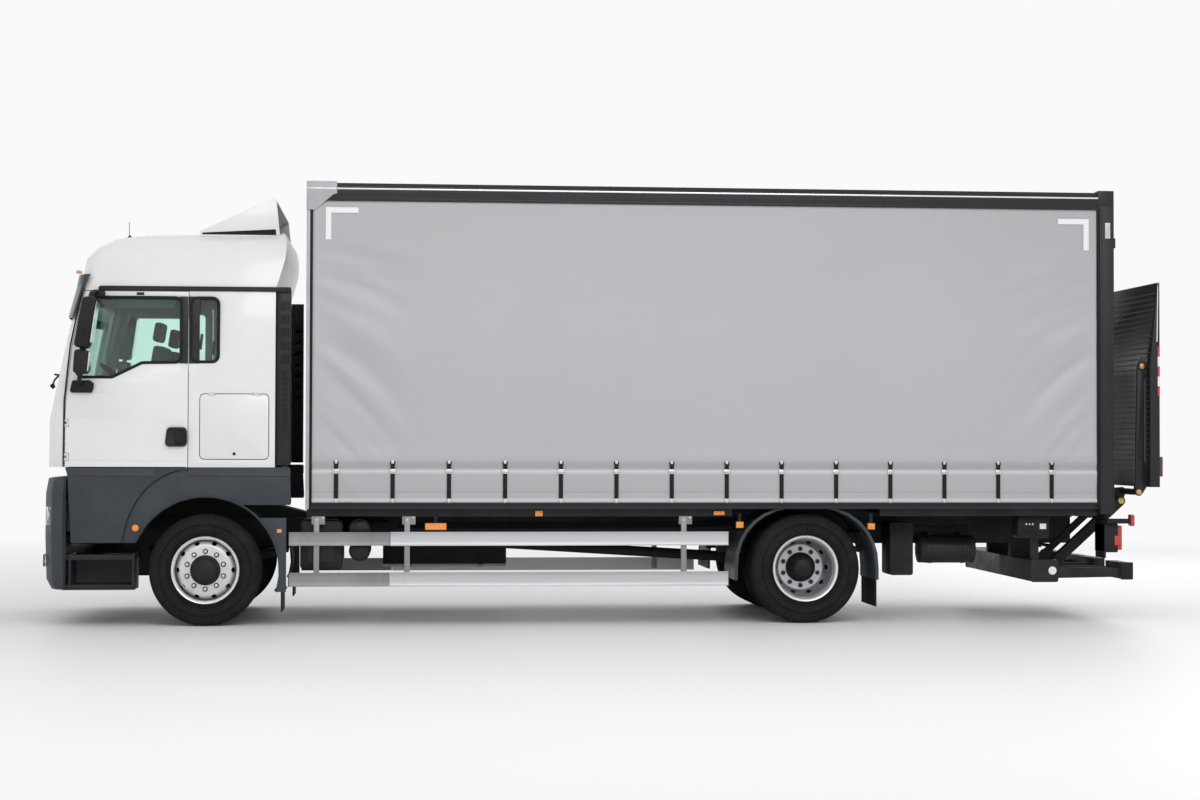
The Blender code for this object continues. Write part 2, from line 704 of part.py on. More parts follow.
def side_guard():
    """Two long planks on posts under the left sill, the front stretch set back a little."""
    y = (-GUARD_Y, -GUARD_Y + GUARD_WALL)
    shapes = []
    for low, high in GUARD_PLANKS:
        shapes.append(box((GUARD_ENDS[0], GUARD_JOINT + 0.02), (y[0] + 0.006, y[1] + 0.004), (low, high)))
        groove = (low + high) / 2
        plank = [(y[0], low), (y[1], low), (y[1], high), (y[0], high), (y[0], groove + 0.012),
                 (y[0] + 0.006, groove + 0.006), (y[0] + 0.006, groove - 0.006), (y[0], groove - 0.012)]
        shapes.append(prism(plank, GUARD_JOINT, GUARD_ENDS[1], "x"))
    for x in GUARD_POSTS:
        foot = GUARD_PLANKS[1][0] + 0.02
        shapes.append(box((x - 0.025, x + 0.025), (y[1] - 0.003, y[1] + 0.030), (foot, RAVE_LOW - SEAT_GAP)))
    return joined(shapes[0], *shapes[1:])


def rear_mudguard():
    """A flattened arch over the twins, its flap and the tubes that carry it."""
    centre = (WHEELBASE, HUB_HEIGHT)
    wall = 0.022
    outside = swell(centre, 0.655, 0.586, 2.3, 0, 180, 16)
    inside = swell(centre, 0.655 - wall, 0.586 - wall, 2.3, 0, 180, 16)
    low = HUB_HEIGHT - 0.10
    outline = ([(centre[0] + 0.655, low)] + outside + [(centre[0] - 0.655, low), (centre[0] - 0.655 + wall, low)]
               + list(reversed(inside)) + [(centre[0] + 0.655 - wall, low)])
    arch = prism(outline, -1.218, -0.555)
    rim = prism(outline_with_lip(outline, centre), -1.218, -1.196)
    flap_x = centre[0] + 0.655 - wall
    flap = box((flap_x + 0.004, flap_x + 0.016), (-1.190, -0.590), (0.150, low + 0.06))
    tubes = []
    for side in (-1, 1):
        place = (centre[0] + side * 0.56, 0, 0.815)
        tubes.append(rod(place, 0.022, -1.00, -RAIL_Y - SEAT_GAP, "y", 8))
    return joined(arch, rim, flap, *tubes)


def outline_with_lip(outline, centre):
    """The same arch a little larger, for the rolled outer edge."""
    return [(centre[0] + (x - centre[0]) * 1.012, z) for x, z in outline]


# Cab: one outer form, cut into its panels
# height, front x on the centre line, half width, rear x, corner depth along x, along y, rise to the rear
CAB_SECTIONS = (
    (0.700, -1.460, CAB_HALF_WIDTH, 0.610, 0.180, 0.34, 0.000),
    (1.410, -1.460, CAB_HALF_WIDTH, 0.610, 0.180, 0.34, 0.000),
    (1.830, -1.456, CAB_HALF_WIDTH, 0.610, 0.180, 0.34, 0.000),
    (2.140, -1.390, CAB_HALF_WIDTH, 0.610, 0.170, 0.32, 0.000),
    (2.630, -1.286, CAB_HALF_WIDTH - 0.010, 0.610, 0.160, 0.30, 0.000),
    (3.000, -1.190, CAB_HALF_WIDTH - 0.025, 0.610, 0.160, 0.30, 0.000),
    (3.270, -1.150, CAB_HALF_WIDTH - 0.070, 0.690, 0.190, 0.32, 0.000),
    (3.380, -1.060, CAB_HALF_WIDTH - 0.120, 0.700, 0.240, 0.36, 0.012),
    (3.460, -0.930, CAB_HALF_WIDTH - 0.220, 0.690, 0.250, 0.38, 0.022),
    (3.490, -0.800, CAB_HALF_WIDTH - 0.360, 0.660, 0.250, 0.38, 0.028),
)
CORNER_STEPS = 3


def section_at(sections, height):
    """The row of a section table at any height, straight between its rows."""
    for low, high in zip(sections, sections[1:]):
        if height <= high[0]:
            share = max(0.0, (height - low[0]) / (high[0] - low[0]))
            return [a + (b - a) * share for a, b in zip(low, high)]
    return list(sections[-1])


def plan_loop(section, inset, z):
    """The outline of a rounded cab front and its straight sides, seen from above."""
    _, front, half_width, rear, depth, corner, rise = section
    front += inset
    half_width -= inset
    rear -= inset
    side = half_width - corner
    half = [(front + FRONT_BOW * 0.25, side * 0.5)]
    for i in range(CORNER_STEPS + 1):
        angle = math.pi / 2 * i / CORNER_STEPS
        half.append((front + FRONT_BOW + depth * (1 - math.cos(angle)), side + corner * math.sin(angle)))
    half.append((rear, half_width))
    line = [(x, -y) for x, y in reversed(half)] + [(front, 0.0)] + half
    return [(x, y, z + rise * (x - front)) for x, y in line]


def cab_form(inset, low, high, sections=CAB_SECTIONS, rear_shift=0.0):
    """The cab's outer form between two heights, moved inwards by an inset."""
    steep = sections[-4][0]
    top = sections[-1][0]
    heights = [low] + [row[0] for row in sections if low < row[0] < high] + [high]
    loops = []
    for height in heights:
        sink = inset * min(1.0, max(0.0, (height - steep) / (top - steep)))
        section = section_at(sections, height)
        section[3] += rear_shift
        loops.append(plan_loop(section, inset, height - sink))
    return loft(loops)


def cab_skin(low, high, outer=0.0, inner=CAB_WALL):
    """The wall of the cab between two heights and two depths, open above, below and behind."""
    return cut(cab_form(outer, low, high), cab_form(inner, low - 0.01, high + 0.01, rear_shift=0.2))


ARCH_SEAM = {"half_length": 0.740, "height": 0.915, "power": 2.4}


def seam_line(start, end, steps, inset=0.0):
    return swell((0, HUB_HEIGHT), ARCH_SEAM["half_length"] - inset, ARCH_SEAM["height"] - inset,
                 ARCH_SEAM["power"], start, end, steps)


def door_outline():
    """The door seen from its side: pillar edge, roof edge, rear edge and the curve over the arch."""
    curve = [p for p in seam_line(180, 92, 14) if p[1] > DOOR_LOW and p[0] < DOOR_REAR]
    pillar = [(-1.070, DOOR_TOP), (-1.170, 2.490), (-1.220, 2.000), (-1.222, CAB_LOW), (-1.200, 1.335),
              (-1.165, DOOR_LOW)]
    start = (curve[0][0] - 0.004, DOOR_LOW)
    return pillar + [start] + curve + [(DOOR_REAR, curve[-1][1] + 0.002), (DOOR_REAR, DOOR_TOP)]


WINDOW = [(-0.970, 2.905), (-1.118, 2.300), (-1.118, 2.215), (-0.820, 2.215), (-0.560, 2.345), (-0.222, 2.350),
          (-0.222, 2.905)]
QUARTER_WINDOW = [(-0.120, 2.905), (-0.120, 2.355), (0.100, 2.355), (0.100, 2.905)]
HATCH = [(-0.048, 1.484), (0.552, 1.484), (0.552, 2.059), (-0.048, 2.059)]
HATCH_CORNER = 0.035
WINDSCREEN_LOW = CAB_HALF_WIDTH - 0.215
WINDSCREEN_HIGH = CAB_HALF_WIDTH - 0.275
WINDSCREEN = [(-WINDSCREEN_LOW, 2.185), (WINDSCREEN_LOW, 2.185), (WINDSCREEN_HIGH, 2.800), (-WINDSCREEN_HIGH, 2.800)]
FLAP_HALF_WIDTH = CAB_HALF_WIDTH - 0.300
FLAP_LOW = 1.425
FLAP_TOP = 2.110
SIDE_REACH = (-CAB_HALF_WIDTH - 0.10, -CAB_HALF_WIDTH + 0.60)
FRONT_REACH = (-1.60, -1.00)


def window(outline):
    return rounded(outline, 0.045)


def hatch_outline():
    return rounded(HATCH, HATCH_CORNER)


def side_panel(outline):
    """A piece of the left cab wall, through its whole thickness."""
    return common(cab_skin(DOOR_LOW - 0.02, CAB_GUTTER), prism(outline, *SIDE_REACH))


def pane(outline, reach, axis):
    """Glass that fills an opening with a hair of play, set a little behind the outer face."""
    skin = cab_skin(2.0, CAB_GUTTER, GLASS_INSET, GLASS_INSET + GLASS)
    return common(skin, prism(grown(window(outline), -SEAT_GAP), *reach, axis))


def door():
    """The left door, cab wall thick, its window cut and a grip standing out of its skin."""
    panel = cut(side_panel(door_outline()), prism(window(WINDOW), *SIDE_REACH))
    panel = hung(panel, door_hinges())
    grip = [(-0.352, 1.600), (-0.172, 1.600), (-0.159, 1.612), (-0.159, 1.757), (-0.195, 1.757), (-0.352, 1.735)]
    y = -CAB_HALF_WIDTH
    return joined(panel, prism(grip, y - 0.022, y + 0.010))


def cab_shell():
    """White cab walls up to the gutter, with openings for doors, hatches, flap and glass."""
    shell = cab_skin(CAB_LOW, CAB_GUTTER)
    openings = []
    for outline in (grown(door_outline(), PANEL_GAP), grown(hatch_outline(), PANEL_GAP), window(QUARTER_WINDOW)):
        left = prism(outline, *SIDE_REACH)
        openings += [left, mirrored(left)]
    flap = [(-FLAP_HALF_WIDTH, CAB_LOW - 0.1), (FLAP_HALF_WIDTH, CAB_LOW - 0.1),
            (FLAP_HALF_WIDTH, FLAP_TOP), (-FLAP_HALF_WIDTH, FLAP_TOP)]
    openings.append(prism(grown(flap, PANEL_GAP), *FRONT_REACH, "x"))
    openings.append(prism(window(WINDSCREEN), *FRONT_REACH, "x"))
    fixed = []
    for place in door_hinges() + hatch_hinges() + flap_hinges():
        stays, moves, body_pocket, leaf_pocket = barrel_hinge(*place)
        openings.append(body_pocket)
        fixed += stays
        if place[2][1]:
            openings.append(mirrored(body_pocket))
            fixed += [mirrored(shape) for shape in stays]
        for spare in moves + [leaf_pocket]:
            drop(spare)
    return joined(cut(shell, *openings), *fixed)


def front_flap():
    """The service flap under the windscreen, with two long air slots."""
    outline = [(-FLAP_HALF_WIDTH, FLAP_LOW), (FLAP_HALF_WIDTH, FLAP_LOW),
               (FLAP_HALF_WIDTH, FLAP_TOP), (-FLAP_HALF_WIDTH, FLAP_TOP)]
    panel = common(cab_skin(CAB_LOW, 2.2), prism(outline, *FRONT_REACH, "x"))
    slots = []
    reach = FLAP_HALF_WIDTH - 0.200
    for z in (1.50, 1.60):
        slot = rounded([(-reach, z), (reach, z), (reach, z + 0.045), (-reach, z + 0.045)], 0.020, 1)
        slots.append(prism(slot, *FRONT_REACH, "x"))
    return hung(cut(panel, *slots), flap_hinges())


def cab_roof():
    """High roof over the gutter, hollow from below."""
    outer = cab_form(0.0, CAB_GUTTER + SEAT_GAP, CAB_SECTIONS[-1][0])
    inner = cab_form(CAB_WALL, CAB_GUTTER - 0.05, CAB_SECTIONS[-1][0])
    return cut(outer, inner)


def cab_rear():
    """The back wall, with a black trim column at each side, slotted like a louvre."""
    low, high = CAB_LOW + 0.02, CAB_GUTTER - 0.004
    wall_x = CAB_SECTIONS[1][3] + SEAT_GAP
    wide, narrow = CAB_HALF_WIDTH - 0.040, CAB_HALF_WIDTH - 0.060
    wall = [(-wide, low), (wide, low), (wide, 2.63), (narrow, high), (-narrow, high), (-wide, 2.63)]
    y = -CAB_HALF_WIDTH
    column = [(y + 0.005, low), (y + 0.005, 2.60), (y + 0.028, high), (y + 0.100, high), (y + 0.100, low)]
    left = prism(column, wall_x + 0.020, REAR_TRIM, "x")
    slots = []
    for i in range(7):
        z = 2.05 + 0.110 * i
        slot = [(0.665, z), (0.725, z + 0.020), (0.725, z + 0.050), (0.665, z + 0.030)]
        slots.append(prism(slot, y - 0.050, y + 0.130))
    left = cut(left, *slots)
    return joined(prism(wall, wall_x, wall_x + 0.030, "x"), left, mirrored(left))


def sun_visor():
    """A curved shade in front of the windscreen's top edge, on three stays."""
    low, high = 2.735, 3.120
    skin = cut(cab_form(-0.034, low, high), cab_form(-0.024, low - 0.01, high + 0.01, rear_shift=0.2))
    half = CAB_HALF_WIDTH - 0.040
    shade = common(skin, box((-1.5, -0.98), (-half, half), (low - 0.05, high + 0.05)))
    stays = [box((-1.205, -1.000), (y - 0.02, y + 0.02), (3.055, 3.085)) for y in (-0.62, 0.0, 0.62)]
    stays = [cut(stay, cab_form(-SEAT_GAP, 2.9, 3.2)) for stay in stays]
    return joined(shade, *stays)


def roof_deflector():
    """A wedge of sheet on the roof that throws the air over the load space, open behind."""
    line = [(-0.080, 3.530), (0.140, 3.632), (0.360, 3.735), (0.575, 3.830), (0.600, 3.820)]
    foot = [(0.640, 3.420), (-0.080, 3.420)]
    half = CAB_HALF_WIDTH - 0.220
    outer = prism(line + foot, -half, half)
    wall = 0.018
    inner = prism([(x + 0.02, z - wall * 1.25) for x, z in line[:-1]] + [(0.75, 3.800), (0.75, 3.30), (-0.06, 3.30)],
                  -half + wall, half - wall)
    hull = cut(outer, inner)
    return cut(hull, cab_form(-SEAT_GAP, 3.2, CAB_SECTIONS[-1][0]))


def cab_interior():
    """Floor, engine tunnel, dash, steering wheel, two seats and the bunk, all on the floor."""
    reach = CAB_HALF_WIDTH - CAB_WALL - DOOR_SWING
    seated = CAB_HALF_WIDTH - CAB_WALL - SEAT_GAP
    floor = box((-1.19, 0.600), (-reach, reach), (1.36, 1.40))
    shapes = [box((DOOR_REAR + 0.02, 0.600), (-seated, seated), (1.362, 1.398))]
    for x in (-0.95, 0.48):
        for side in (-1, 1):
            y = sorted((side * (RAIL_Y - 0.060), side * (RAIL_Y - 0.005)))
            shapes.append(box((x - 0.05, x + 0.05), y, (RAIL_TOP + SEAT_GAP, 1.37)))
    tunnel = rounded([(-0.36, 1.38), (0.36, 1.38), (0.34, 1.60), (-0.34, 1.60)], [0, 0, 0.06, 0.06])
    shapes.append(prism(tunnel, -1.10, 0.10, "x"))
    dash = [(-1.215, 1.39), (-1.040, 1.39), (-1.000, 1.78), (-0.900, 1.93), (-0.900, 2.03), (-0.990, 2.10),
            (-1.190, 2.12), (-1.215, 2.05)]
    dash_half = CAB_HALF_WIDTH - 0.200
    seat_y = CAB_HALF_WIDTH - 0.580
    shapes.append(prism(dash, -dash_half, dash_half))
    for y in (-seat_y, seat_y):
        shapes += seat(-0.42, y)
    bunk = rounded([(0.02, 1.78), (0.595, 1.78), (0.595, 1.98), (0.02, 1.98)], [0, 0, 0.04, 0.04])
    shapes.append(prism(bunk, -reach + 0.02, reach - 0.02))
    locker = box((0.03, 0.06), (-reach + 0.06, reach - 0.06), (1.39, 1.79))
    shapes.append(locker)
    wheel = steering_wheel((-0.820, -seat_y, 2.200))
    return joined(floor, wheel, *shapes)


def steering_wheel(centre):
    """A rim with three spokes on a leaning column."""
    rim_radius, tube = 0.225, 0.017
    ring = [(rim_radius + tube * math.cos(a), tube * math.sin(a)) for a in
            [2 * math.pi * i / 5 for i in range(5)]]
    wheel = turned(ring, (0, 0, 0), 14, "z")
    hub = rod((0, 0, 0), 0.060, -0.045, 0.012, "z", 10)
    column = rod((0, 0, 0), 0.045, -0.350, -0.020, "z", 8)
    spokes = []
    for i in range(3):
        spoke = box((0.02, rim_radius), (-0.018, 0.018), (-0.010, 0.006))
        spoke.data.transform(Matrix.Rotation(math.radians(90 + 120 * i), 4, "Z"))
        spokes.append(spoke)
    whole = joined(wheel, hub, column, *spokes)
    whole.data.transform(Matrix.Translation(centre) @ Matrix.Rotation(math.radians(38), 4, "Y"))
    return whole


def seat(x, y):
    """Pedestal, cushion, back and head rest of one seat."""
    cushion = rounded([(x - 0.27, 1.80), (x + 0.24, 1.78), (x + 0.24, 1.92), (x - 0.27, 1.94)], 0.04, 1)
    back = rounded([(x + 0.14, 1.84), (x + 0.27, 1.84), (x + 0.40, 2.52), (x + 0.29, 2.54)], 0.04, 1)
    head = rounded([(x + 0.29, 2.55), (x + 0.39, 2.53), (x + 0.42, 2.72), (x + 0.33, 2.74)], 0.03, 1)
    shapes = [prism(cushion, y - 0.25, y + 0.25), prism(back, y - 0.24, y + 0.24), prism(head, y - 0.13, y + 0.13)]
    shapes.append(box((x - 0.15, x + 0.18), (y - 0.16, y + 0.16), (1.39, 1.82)))
    shapes.append(box((x + 0.325, x + 0.355), (y - 0.06, y + 0.06), (2.48, 2.60)))
    return shapes


def wheel_arch():
    """The dark panel round the front wheel, the wing behind it, the liner and the mud flap."""
    centre = (0, HUB_HEIGHT)
    y = (-CAB_HALF_WIDTH, -CAB_HALF_WIDTH + CAB_WALL)
    top = CAB_LOW - SEAT_GAP
    rear_low = 1.076
    front_angle = 180 - math.degrees(math.asin((DOOR_LOW - HUB_HEIGHT) / ARCH_RADIUS))
    rear_angle = math.degrees(math.asin((rear_low - HUB_HEIGHT) / ARCH_RADIUS))
    seam = [p for p in seam_line(180, 92, 14, PANEL_GAP) if p[1] > DOOR_LOW and p[0] < DOOR_REAR]
    edge = DOOR_REAR + PANEL_GAP
    line = [(seam[0][0], DOOR_LOW)] + [p for p in seam if p[0] < edge - 0.01]
    line += [(edge, seam[-1][1]), (edge, top), (0.740, top), (0.756, rear_low + 0.03), (0.750, rear_low)]
    upper = prism(line + arc(centre, ARCH_RADIUS, rear_angle, front_angle, 12), *y)
    low_angle = -math.degrees(math.asin((HUB_HEIGHT - 0.304) / ARCH_RADIUS))
    wing_angle = math.degrees(math.asin((0.960 - HUB_HEIGHT) / ARCH_RADIUS))
    wing = prism(arc(centre, ARCH_RADIUS, low_angle, wing_angle, 5) + [(0.713, 0.960), (0.713, 0.304)], *y)
    wall = 0.018
    band = (arc(centre, ARCH_RADIUS + 0.001, low_angle, front_angle - 3, 12)
            + arc(centre, ARCH_RADIUS + wall, front_angle - 3, low_angle, 12))
    liner = prism(band, y[0] + 0.010, -0.720)
    flap = box((0.668, 0.680), (y[0] + 0.020, -0.740), (0.126, 0.330))
    web = box((0.612, 0.700), (y[0] + 0.020, -0.760), (0.308, 0.326))
    stay = box((0.640, 0.672), (y[0] + 0.035, -RAIL_Y - SEAT_GAP), (0.740, 0.790))
    return joined(upper, wing, liner, flap, web, stay)


BUMPER_SECTIONS = (
    (0.330, -1.430, BUMPER_HALF_WIDTH - 0.025, BUMPER_REAR, 0.150, 0.36, 0.0),
    (0.420, -1.478, BUMPER_HALF_WIDTH - 0.005, BUMPER_REAR, 0.200, 0.36, 0.0),
    (0.800, BUMPER_FRONT, BUMPER_HALF_WIDTH, BUMPER_REAR, 0.200, 0.36, 0.0),
    (1.180, -1.486, BUMPER_HALF_WIDTH, BUMPER_REAR, 0.200, 0.36, 0.0),
    (1.310, -1.462, BUMPER_HALF_WIDTH - 0.015, BUMPER_REAR, 0.190, 0.34, 0.0),
)
# how far the lamps' corners lie from the bumper's end, height
HEADLAMP = [(BUMPER_HALF_WIDTH - inward, z) for inward, z in
            ((0.520, 0.860), (0.080, 0.900), (0.055, 1.060), (0.500, 1.060))]
FOG_LAMP = [(BUMPER_HALF_WIDTH - inward, z) for inward, z in
            ((0.360, 0.520), (0.170, 0.520), (0.170, 0.640), (0.360, 0.640))]


def bumper_form(inset, low, high, rear_shift=0.0):
    heights = [low] + [row[0] for row in BUMPER_SECTIONS if low < row[0] < high] + [high]
    loops = []
    for height in heights:
        section = section_at(BUMPER_SECTIONS, height)
        section[3] += rear_shift + inset
        loops.append(plan_loop(section, inset, height))
    return loft(loops)


def bumper_skin():
    low, high = BUMPER_SECTIONS[0][0], BUMPER_SECTIONS[-1][0]
    outer = bumper_form(0.0, low, high)
    return cut(outer, bumper_form(BUMPER_WALL, low + BUMPER_WALL, high - BUMPER_WALL, rear_shift=0.3))


def headlamp():
    """The left lamp block, the bumper's own form between its pocket's edges."""
    outline = [(-y, z) for y, z in HEADLAMP]
    return common(bumper_skin(), prism(rounded(outline, 0.03, 1), *FRONT_REACH, "x"))


def front_bumper():
    """Bumper with lamp pockets and air slots, its brackets and the step wells at its ends."""
    pockets = []
    for outline in (HEADLAMP, FOG_LAMP):
        outline = [(-y, z) for y, z in outline]
        depth = -1.00 if outline[0][1] > 0.8 else -1.41
        left = prism(grown(rounded(outline, 0.03, 1), SEAT_GAP), FRONT_REACH[0], depth, "x")
        pockets += [left, mirrored(left)]
    slot_half = BUMPER_HALF_WIDTH - 0.600
    for z in (0.905, 1.000, 1.095, 1.190):
        slot = [(-slot_half, z), (slot_half, z), (slot_half, z + 0.050), (-slot_half, z + 0.050)]
        pockets.append(prism(slot, *FRONT_REACH, "x"))
    low_half, high_half = BUMPER_HALF_WIDTH - 0.720, BUMPER_HALF_WIDTH - 0.680
    low_slot = rounded([(-low_half, 0.47), (low_half, 0.47), (high_half, 0.62), (-high_half, 0.62)], 0.04, 1)
    pockets.append(prism(low_slot, *FRONT_REACH, "x"))
    hull = cut(bumper_skin(), *pockets)
    shapes = []
    for side in (-1, 1):
        y = sorted((side * (RAIL_Y - 0.065), side * (RAIL_Y - 0.005)))
        shapes.append(box((-1.455, RAIL_FRONT - SEAT_GAP), y, (0.700, 0.780)))
    step = entry_steps()
    return joined(hull, step, mirrored(step), *shapes)


def entry_steps():
    """Two treads between cheeks under the left door."""
    front, rear = BUMPER_REAR - 0.030, -0.617
    side = -CAB_HALF_WIDTH
    inner = side + 0.340
    treads = []
    for low, high, inward in ((0.326, 0.372, 0.015), (0.590, 0.635, 0.035)):
        treads.append(box((front, rear - 0.012), (side + inward, inner), (low, high)))
    back = box((front, rear - 0.012), (inner - 0.012, inner + 0.012), (0.326, 0.635))
    cheek = [(side + 0.012, 0.326), (inner, 0.326), (inner, 0.645), (side + 0.030, 0.645)]
    plates = [prism(cheek, x, x + 0.020, "x") for x in (-1.189, rear - 0.020)]
    return joined(back, *treads, *plates)


def mirror():
    """Two mirror heads on one arm that stands off the door, left side."""
    y = -CAB_HALF_WIDTH
    foot = prism([(-1.175, 2.085), (-1.010, 2.085), (-0.990, 2.170), (-1.150, 2.180)], y - 0.035, y - SEAT_GAP)
    top_foot = prism([(-1.020, 2.922), (-0.900, 2.922), (-0.900, 2.962), (-1.020, 2.962)], y - 0.06, y + 0.018)
    lower = prism([(y - 0.02, 2.100), (y - 0.02, 2.160), (y - 0.160, 2.200), (y - 0.180, 2.170), (y - 0.160, 2.125)],
                  -1.110, -1.040, "x")
    upper = box((-0.985, -0.925), (y - 0.170, y - 0.03), (2.930, 2.956))
    stem = strut((-1.075, 2.150), (-0.955, 2.945), (y - 0.165, y - 0.125), 0.030)
    big = rounded([(-1.115, 2.470), (-0.985, 2.455), (-0.915, 2.870), (-0.960, 2.905), (-1.030, 2.890)], 0.02, 1)
    small = rounded([(-1.120, 2.235), (-1.000, 2.225), (-0.985, 2.425), (-1.105, 2.440)], 0.02, 1)
    heads = [prism(big, y - 0.290, y - 0.080), prism(small, y - 0.290, y - 0.090)]
    whole = joined(foot, top_foot, lower, upper, stem, *heads)
    return cut(whole, cab_form(-SEAT_GAP, 1.9, 2.999))


# Load space
def body_floor():
    """Deck on cross members and two bearers over the frame, with an open sill along each side."""
    edge = BODY_HALF_WIDTH - 0.020
    shapes = []
    web = -BODY_HALF_WIDTH + 0.095
    wheel_gap = (WHEELBASE - 0.68, WHEELBASE + 0.68)
    bearer = box((BODY_FRONT + 0.02, BODY_REAR - SEAT_GAP), (-RAIL_Y, -RAIL_Y + 0.070),
                 (RAIL_TOP + SEAT_GAP, DECK_LOW + 0.002))
    for x0, x1 in ((BODY_FRONT + 0.005, wheel_gap[0]), (wheel_gap[1], BODY_REAR - SEAT_GAP)):
        sill = [(web, RAVE_LOW), (web + 0.080, RAVE_LOW), (web + 0.080, RAVE_LOW + 0.012),
                (web + 0.012, RAVE_LOW + 0.012), (web + 0.012, DECK_LOW + 0.002), (web, DECK_LOW + 0.002)]
        shapes.append(prism(sill, x0, x1, "x"))
        shapes.append(mirrored(shapes[-1]))
    count = 12
    for i in range(count):
        x = BODY_FRONT + 0.06 + (BODY_REAR - BODY_FRONT - 0.12) * i / (count - 1)
        if not wheel_gap[0] < x < wheel_gap[1]:
            shapes.append(box((x - 0.03, x + 0.03), (web + 0.010, -web - 0.010), (DECK_LOW - 0.090, DECK_LOW + 0.002)))
    ledge = box((BODY_FRONT, BODY_REAR - SEAT_GAP), (-edge, edge), (DECK_LOW, DECK_TOP - DECK_STEP))
    boards = box((BODY_FRONT + BULKHEAD_DEPTH + 0.003, BODY_REAR - SEAT_GAP), (-edge, edge),
                 (DECK_LOW + 0.002, DECK_TOP))
    return joined(ledge, boards, bearer, mirrored(bearer), *shapes)


def front_bulkhead():
    """The load space's ribbed front wall between two corner posts."""
    high = CURTAIN_TOP - SEAT_GAP
    low = DECK_TOP - DECK_STEP + SEAT_GAP
    half = BODY_HALF_WIDTH - 0.026
    panel = box((BODY_FRONT + 0.008, BODY_FRONT + 0.034), (-half, half), (low, high))
    posts = [box((BODY_FRONT, BODY_FRONT + BULKHEAD_DEPTH), (s * half - 0.055 * (s > 0), s * half + 0.055 * (s < 0)), (low, high))
             for s in (-1, 1)]
    ribs = [box((BODY_FRONT, BODY_FRONT + 0.012), (-half, half), (z, z + 0.05)) for z in (1.60, 2.15, 2.70, 3.25)]
    return joined(panel, *posts, *ribs)


def body_roof():
    """Roof sheet between two cant rails, with bows, a front header and corner castings."""
    rail = [(-BODY_HALF_WIDTH, CURTAIN_TOP + 0.02), (-BODY_HALF_WIDTH + 0.012, CURTAIN_TOP),
            (-BODY_HALF_WIDTH + 0.060, CURTAIN_TOP), (-BODY_HALF_WIDTH + 0.060, ROOF_TOP),
            (-BODY_HALF_WIDTH + 0.020, ROOF_TOP), (-BODY_HALF_WIDTH, ROOF_TOP - 0.025)]
    x = (BODY_FRONT + 0.010, BODY_REAR - SEAT_GAP)
    left = prism(rail, *x, "x")
    sheet = box(x, (-BODY_HALF_WIDTH + 0.05, BODY_HALF_WIDTH - 0.05), (3.900, 3.922))
    header = box((BODY_FRONT, BODY_FRONT + 0.060), (-BODY_HALF_WIDTH + 0.03, BODY_HALF_WIDTH - 0.03),
                 (CURTAIN_TOP, ROOF_TOP - 0.004))
    bows = [box((bow - 0.03, bow + 0.03), (-BODY_HALF_WIDTH + 0.05, BODY_HALF_WIDTH - 0.05), (3.860, 3.904))
            for bow in [BODY_FRONT + 1.0 + 1.05 * i for i in range(6)]]
    casting = rounded([(0.888, 3.707), (0.960, 3.707), (1.150, 3.850), (1.150, 3.956), (0.888, 3.956)],
                      [0.01, 0.05, 0.05, 0.01, 0.02], 2)
    corner = prism(casting, -BODY_HALF_WIDTH - 0.002, -CURTAIN_Y - SEAT_GAP)
    cap = prism([(0.888, CURTAIN_TOP + 0.01), (1.140, 3.800), (1.140, 3.952), (0.888, 3.952)],
                -BODY_HALF_WIDTH, -BODY_HALF_WIDTH + 0.10)
    return joined(sheet, left, mirrored(left), header, corner, mirrored(corner), cap, mirrored(cap), *bows)


def rear_frame():
    """Two posts, a header and a sill round the rear doors, with the door hinges' fixed halves."""
    x = (BODY_REAR, BODY_REAR + FRAME_DEPTH)
    post = box(x, (-BODY_HALF_WIDTH, -BODY_HALF_WIDTH + POST_WIDTH), (POST_LOW, FRAME_TOP - 0.002))
    head = box(x, (-BODY_HALF_WIDTH + 0.01, BODY_HALF_WIDTH - 0.01), (3.800, FRAME_TOP))
    sill = box(x, (-BODY_HALF_WIDTH + 0.01, BODY_HALF_WIDTH - 0.01), (SILL_LOW, DECK_TOP))
    knobs = [box((x[1] - 0.004, x[1] + 0.022), (-BODY_HALF_WIDTH + 0.02, -BODY_HALF_WIDTH + 0.075), (z, z + 0.09))
             for z in REAR_HINGES]
    return joined(post, mirrored(post), head, sill, *knobs, *[mirrored(knob) for knob in knobs])


REAR_HINGES = (1.30, 2.00, 2.72, 3.44)
LOCK_GUIDES = (1.30, 2.36, 3.44)


def rear_door():
    """The left rear leaf with two lock bars in their guides and its hinge straps."""
    x1 = BODY_REAR + FRAME_DEPTH - 0.008
    edge = -BODY_HALF_WIDTH + POST_WIDTH + 0.004
    leaf = box((x1 - 0.032, x1), (edge, -0.003), (DECK_TOP + 0.004, 3.795))
    shapes = []
    for y in (-0.30, -0.90):
        shapes.append(rod((x1 + 0.030, y, 0), 0.014, DECK_TOP + 0.012, 3.79, "z", 6))
        for z in LOCK_GUIDES:
            shapes.append(box((x1 - 0.004, x1 + 0.030), (y - 0.030, y + 0.030), (z, z + 0.05)))
        shapes.append(box((x1 + 0.020, x1 + 0.044), (y - 0.012, y + 0.27), (1.62, 1.65)))
    face = BODY_REAR + FRAME_DEPTH + SEAT_GAP
    for z in REAR_HINGES:
        strap = (z + 0.015, z + 0.075)
        shapes.append(box((face, face + 0.012), (-BODY_HALF_WIDTH + 0.075 + SEAT_GAP, edge + 0.16), strap))
        shapes.append(box((x1 - 0.004, face + 0.006), (edge + 0.01, edge + 0.15), (strap[0] + 0.004, strap[1] - 0.004)))
    return joined(leaf, *shapes)


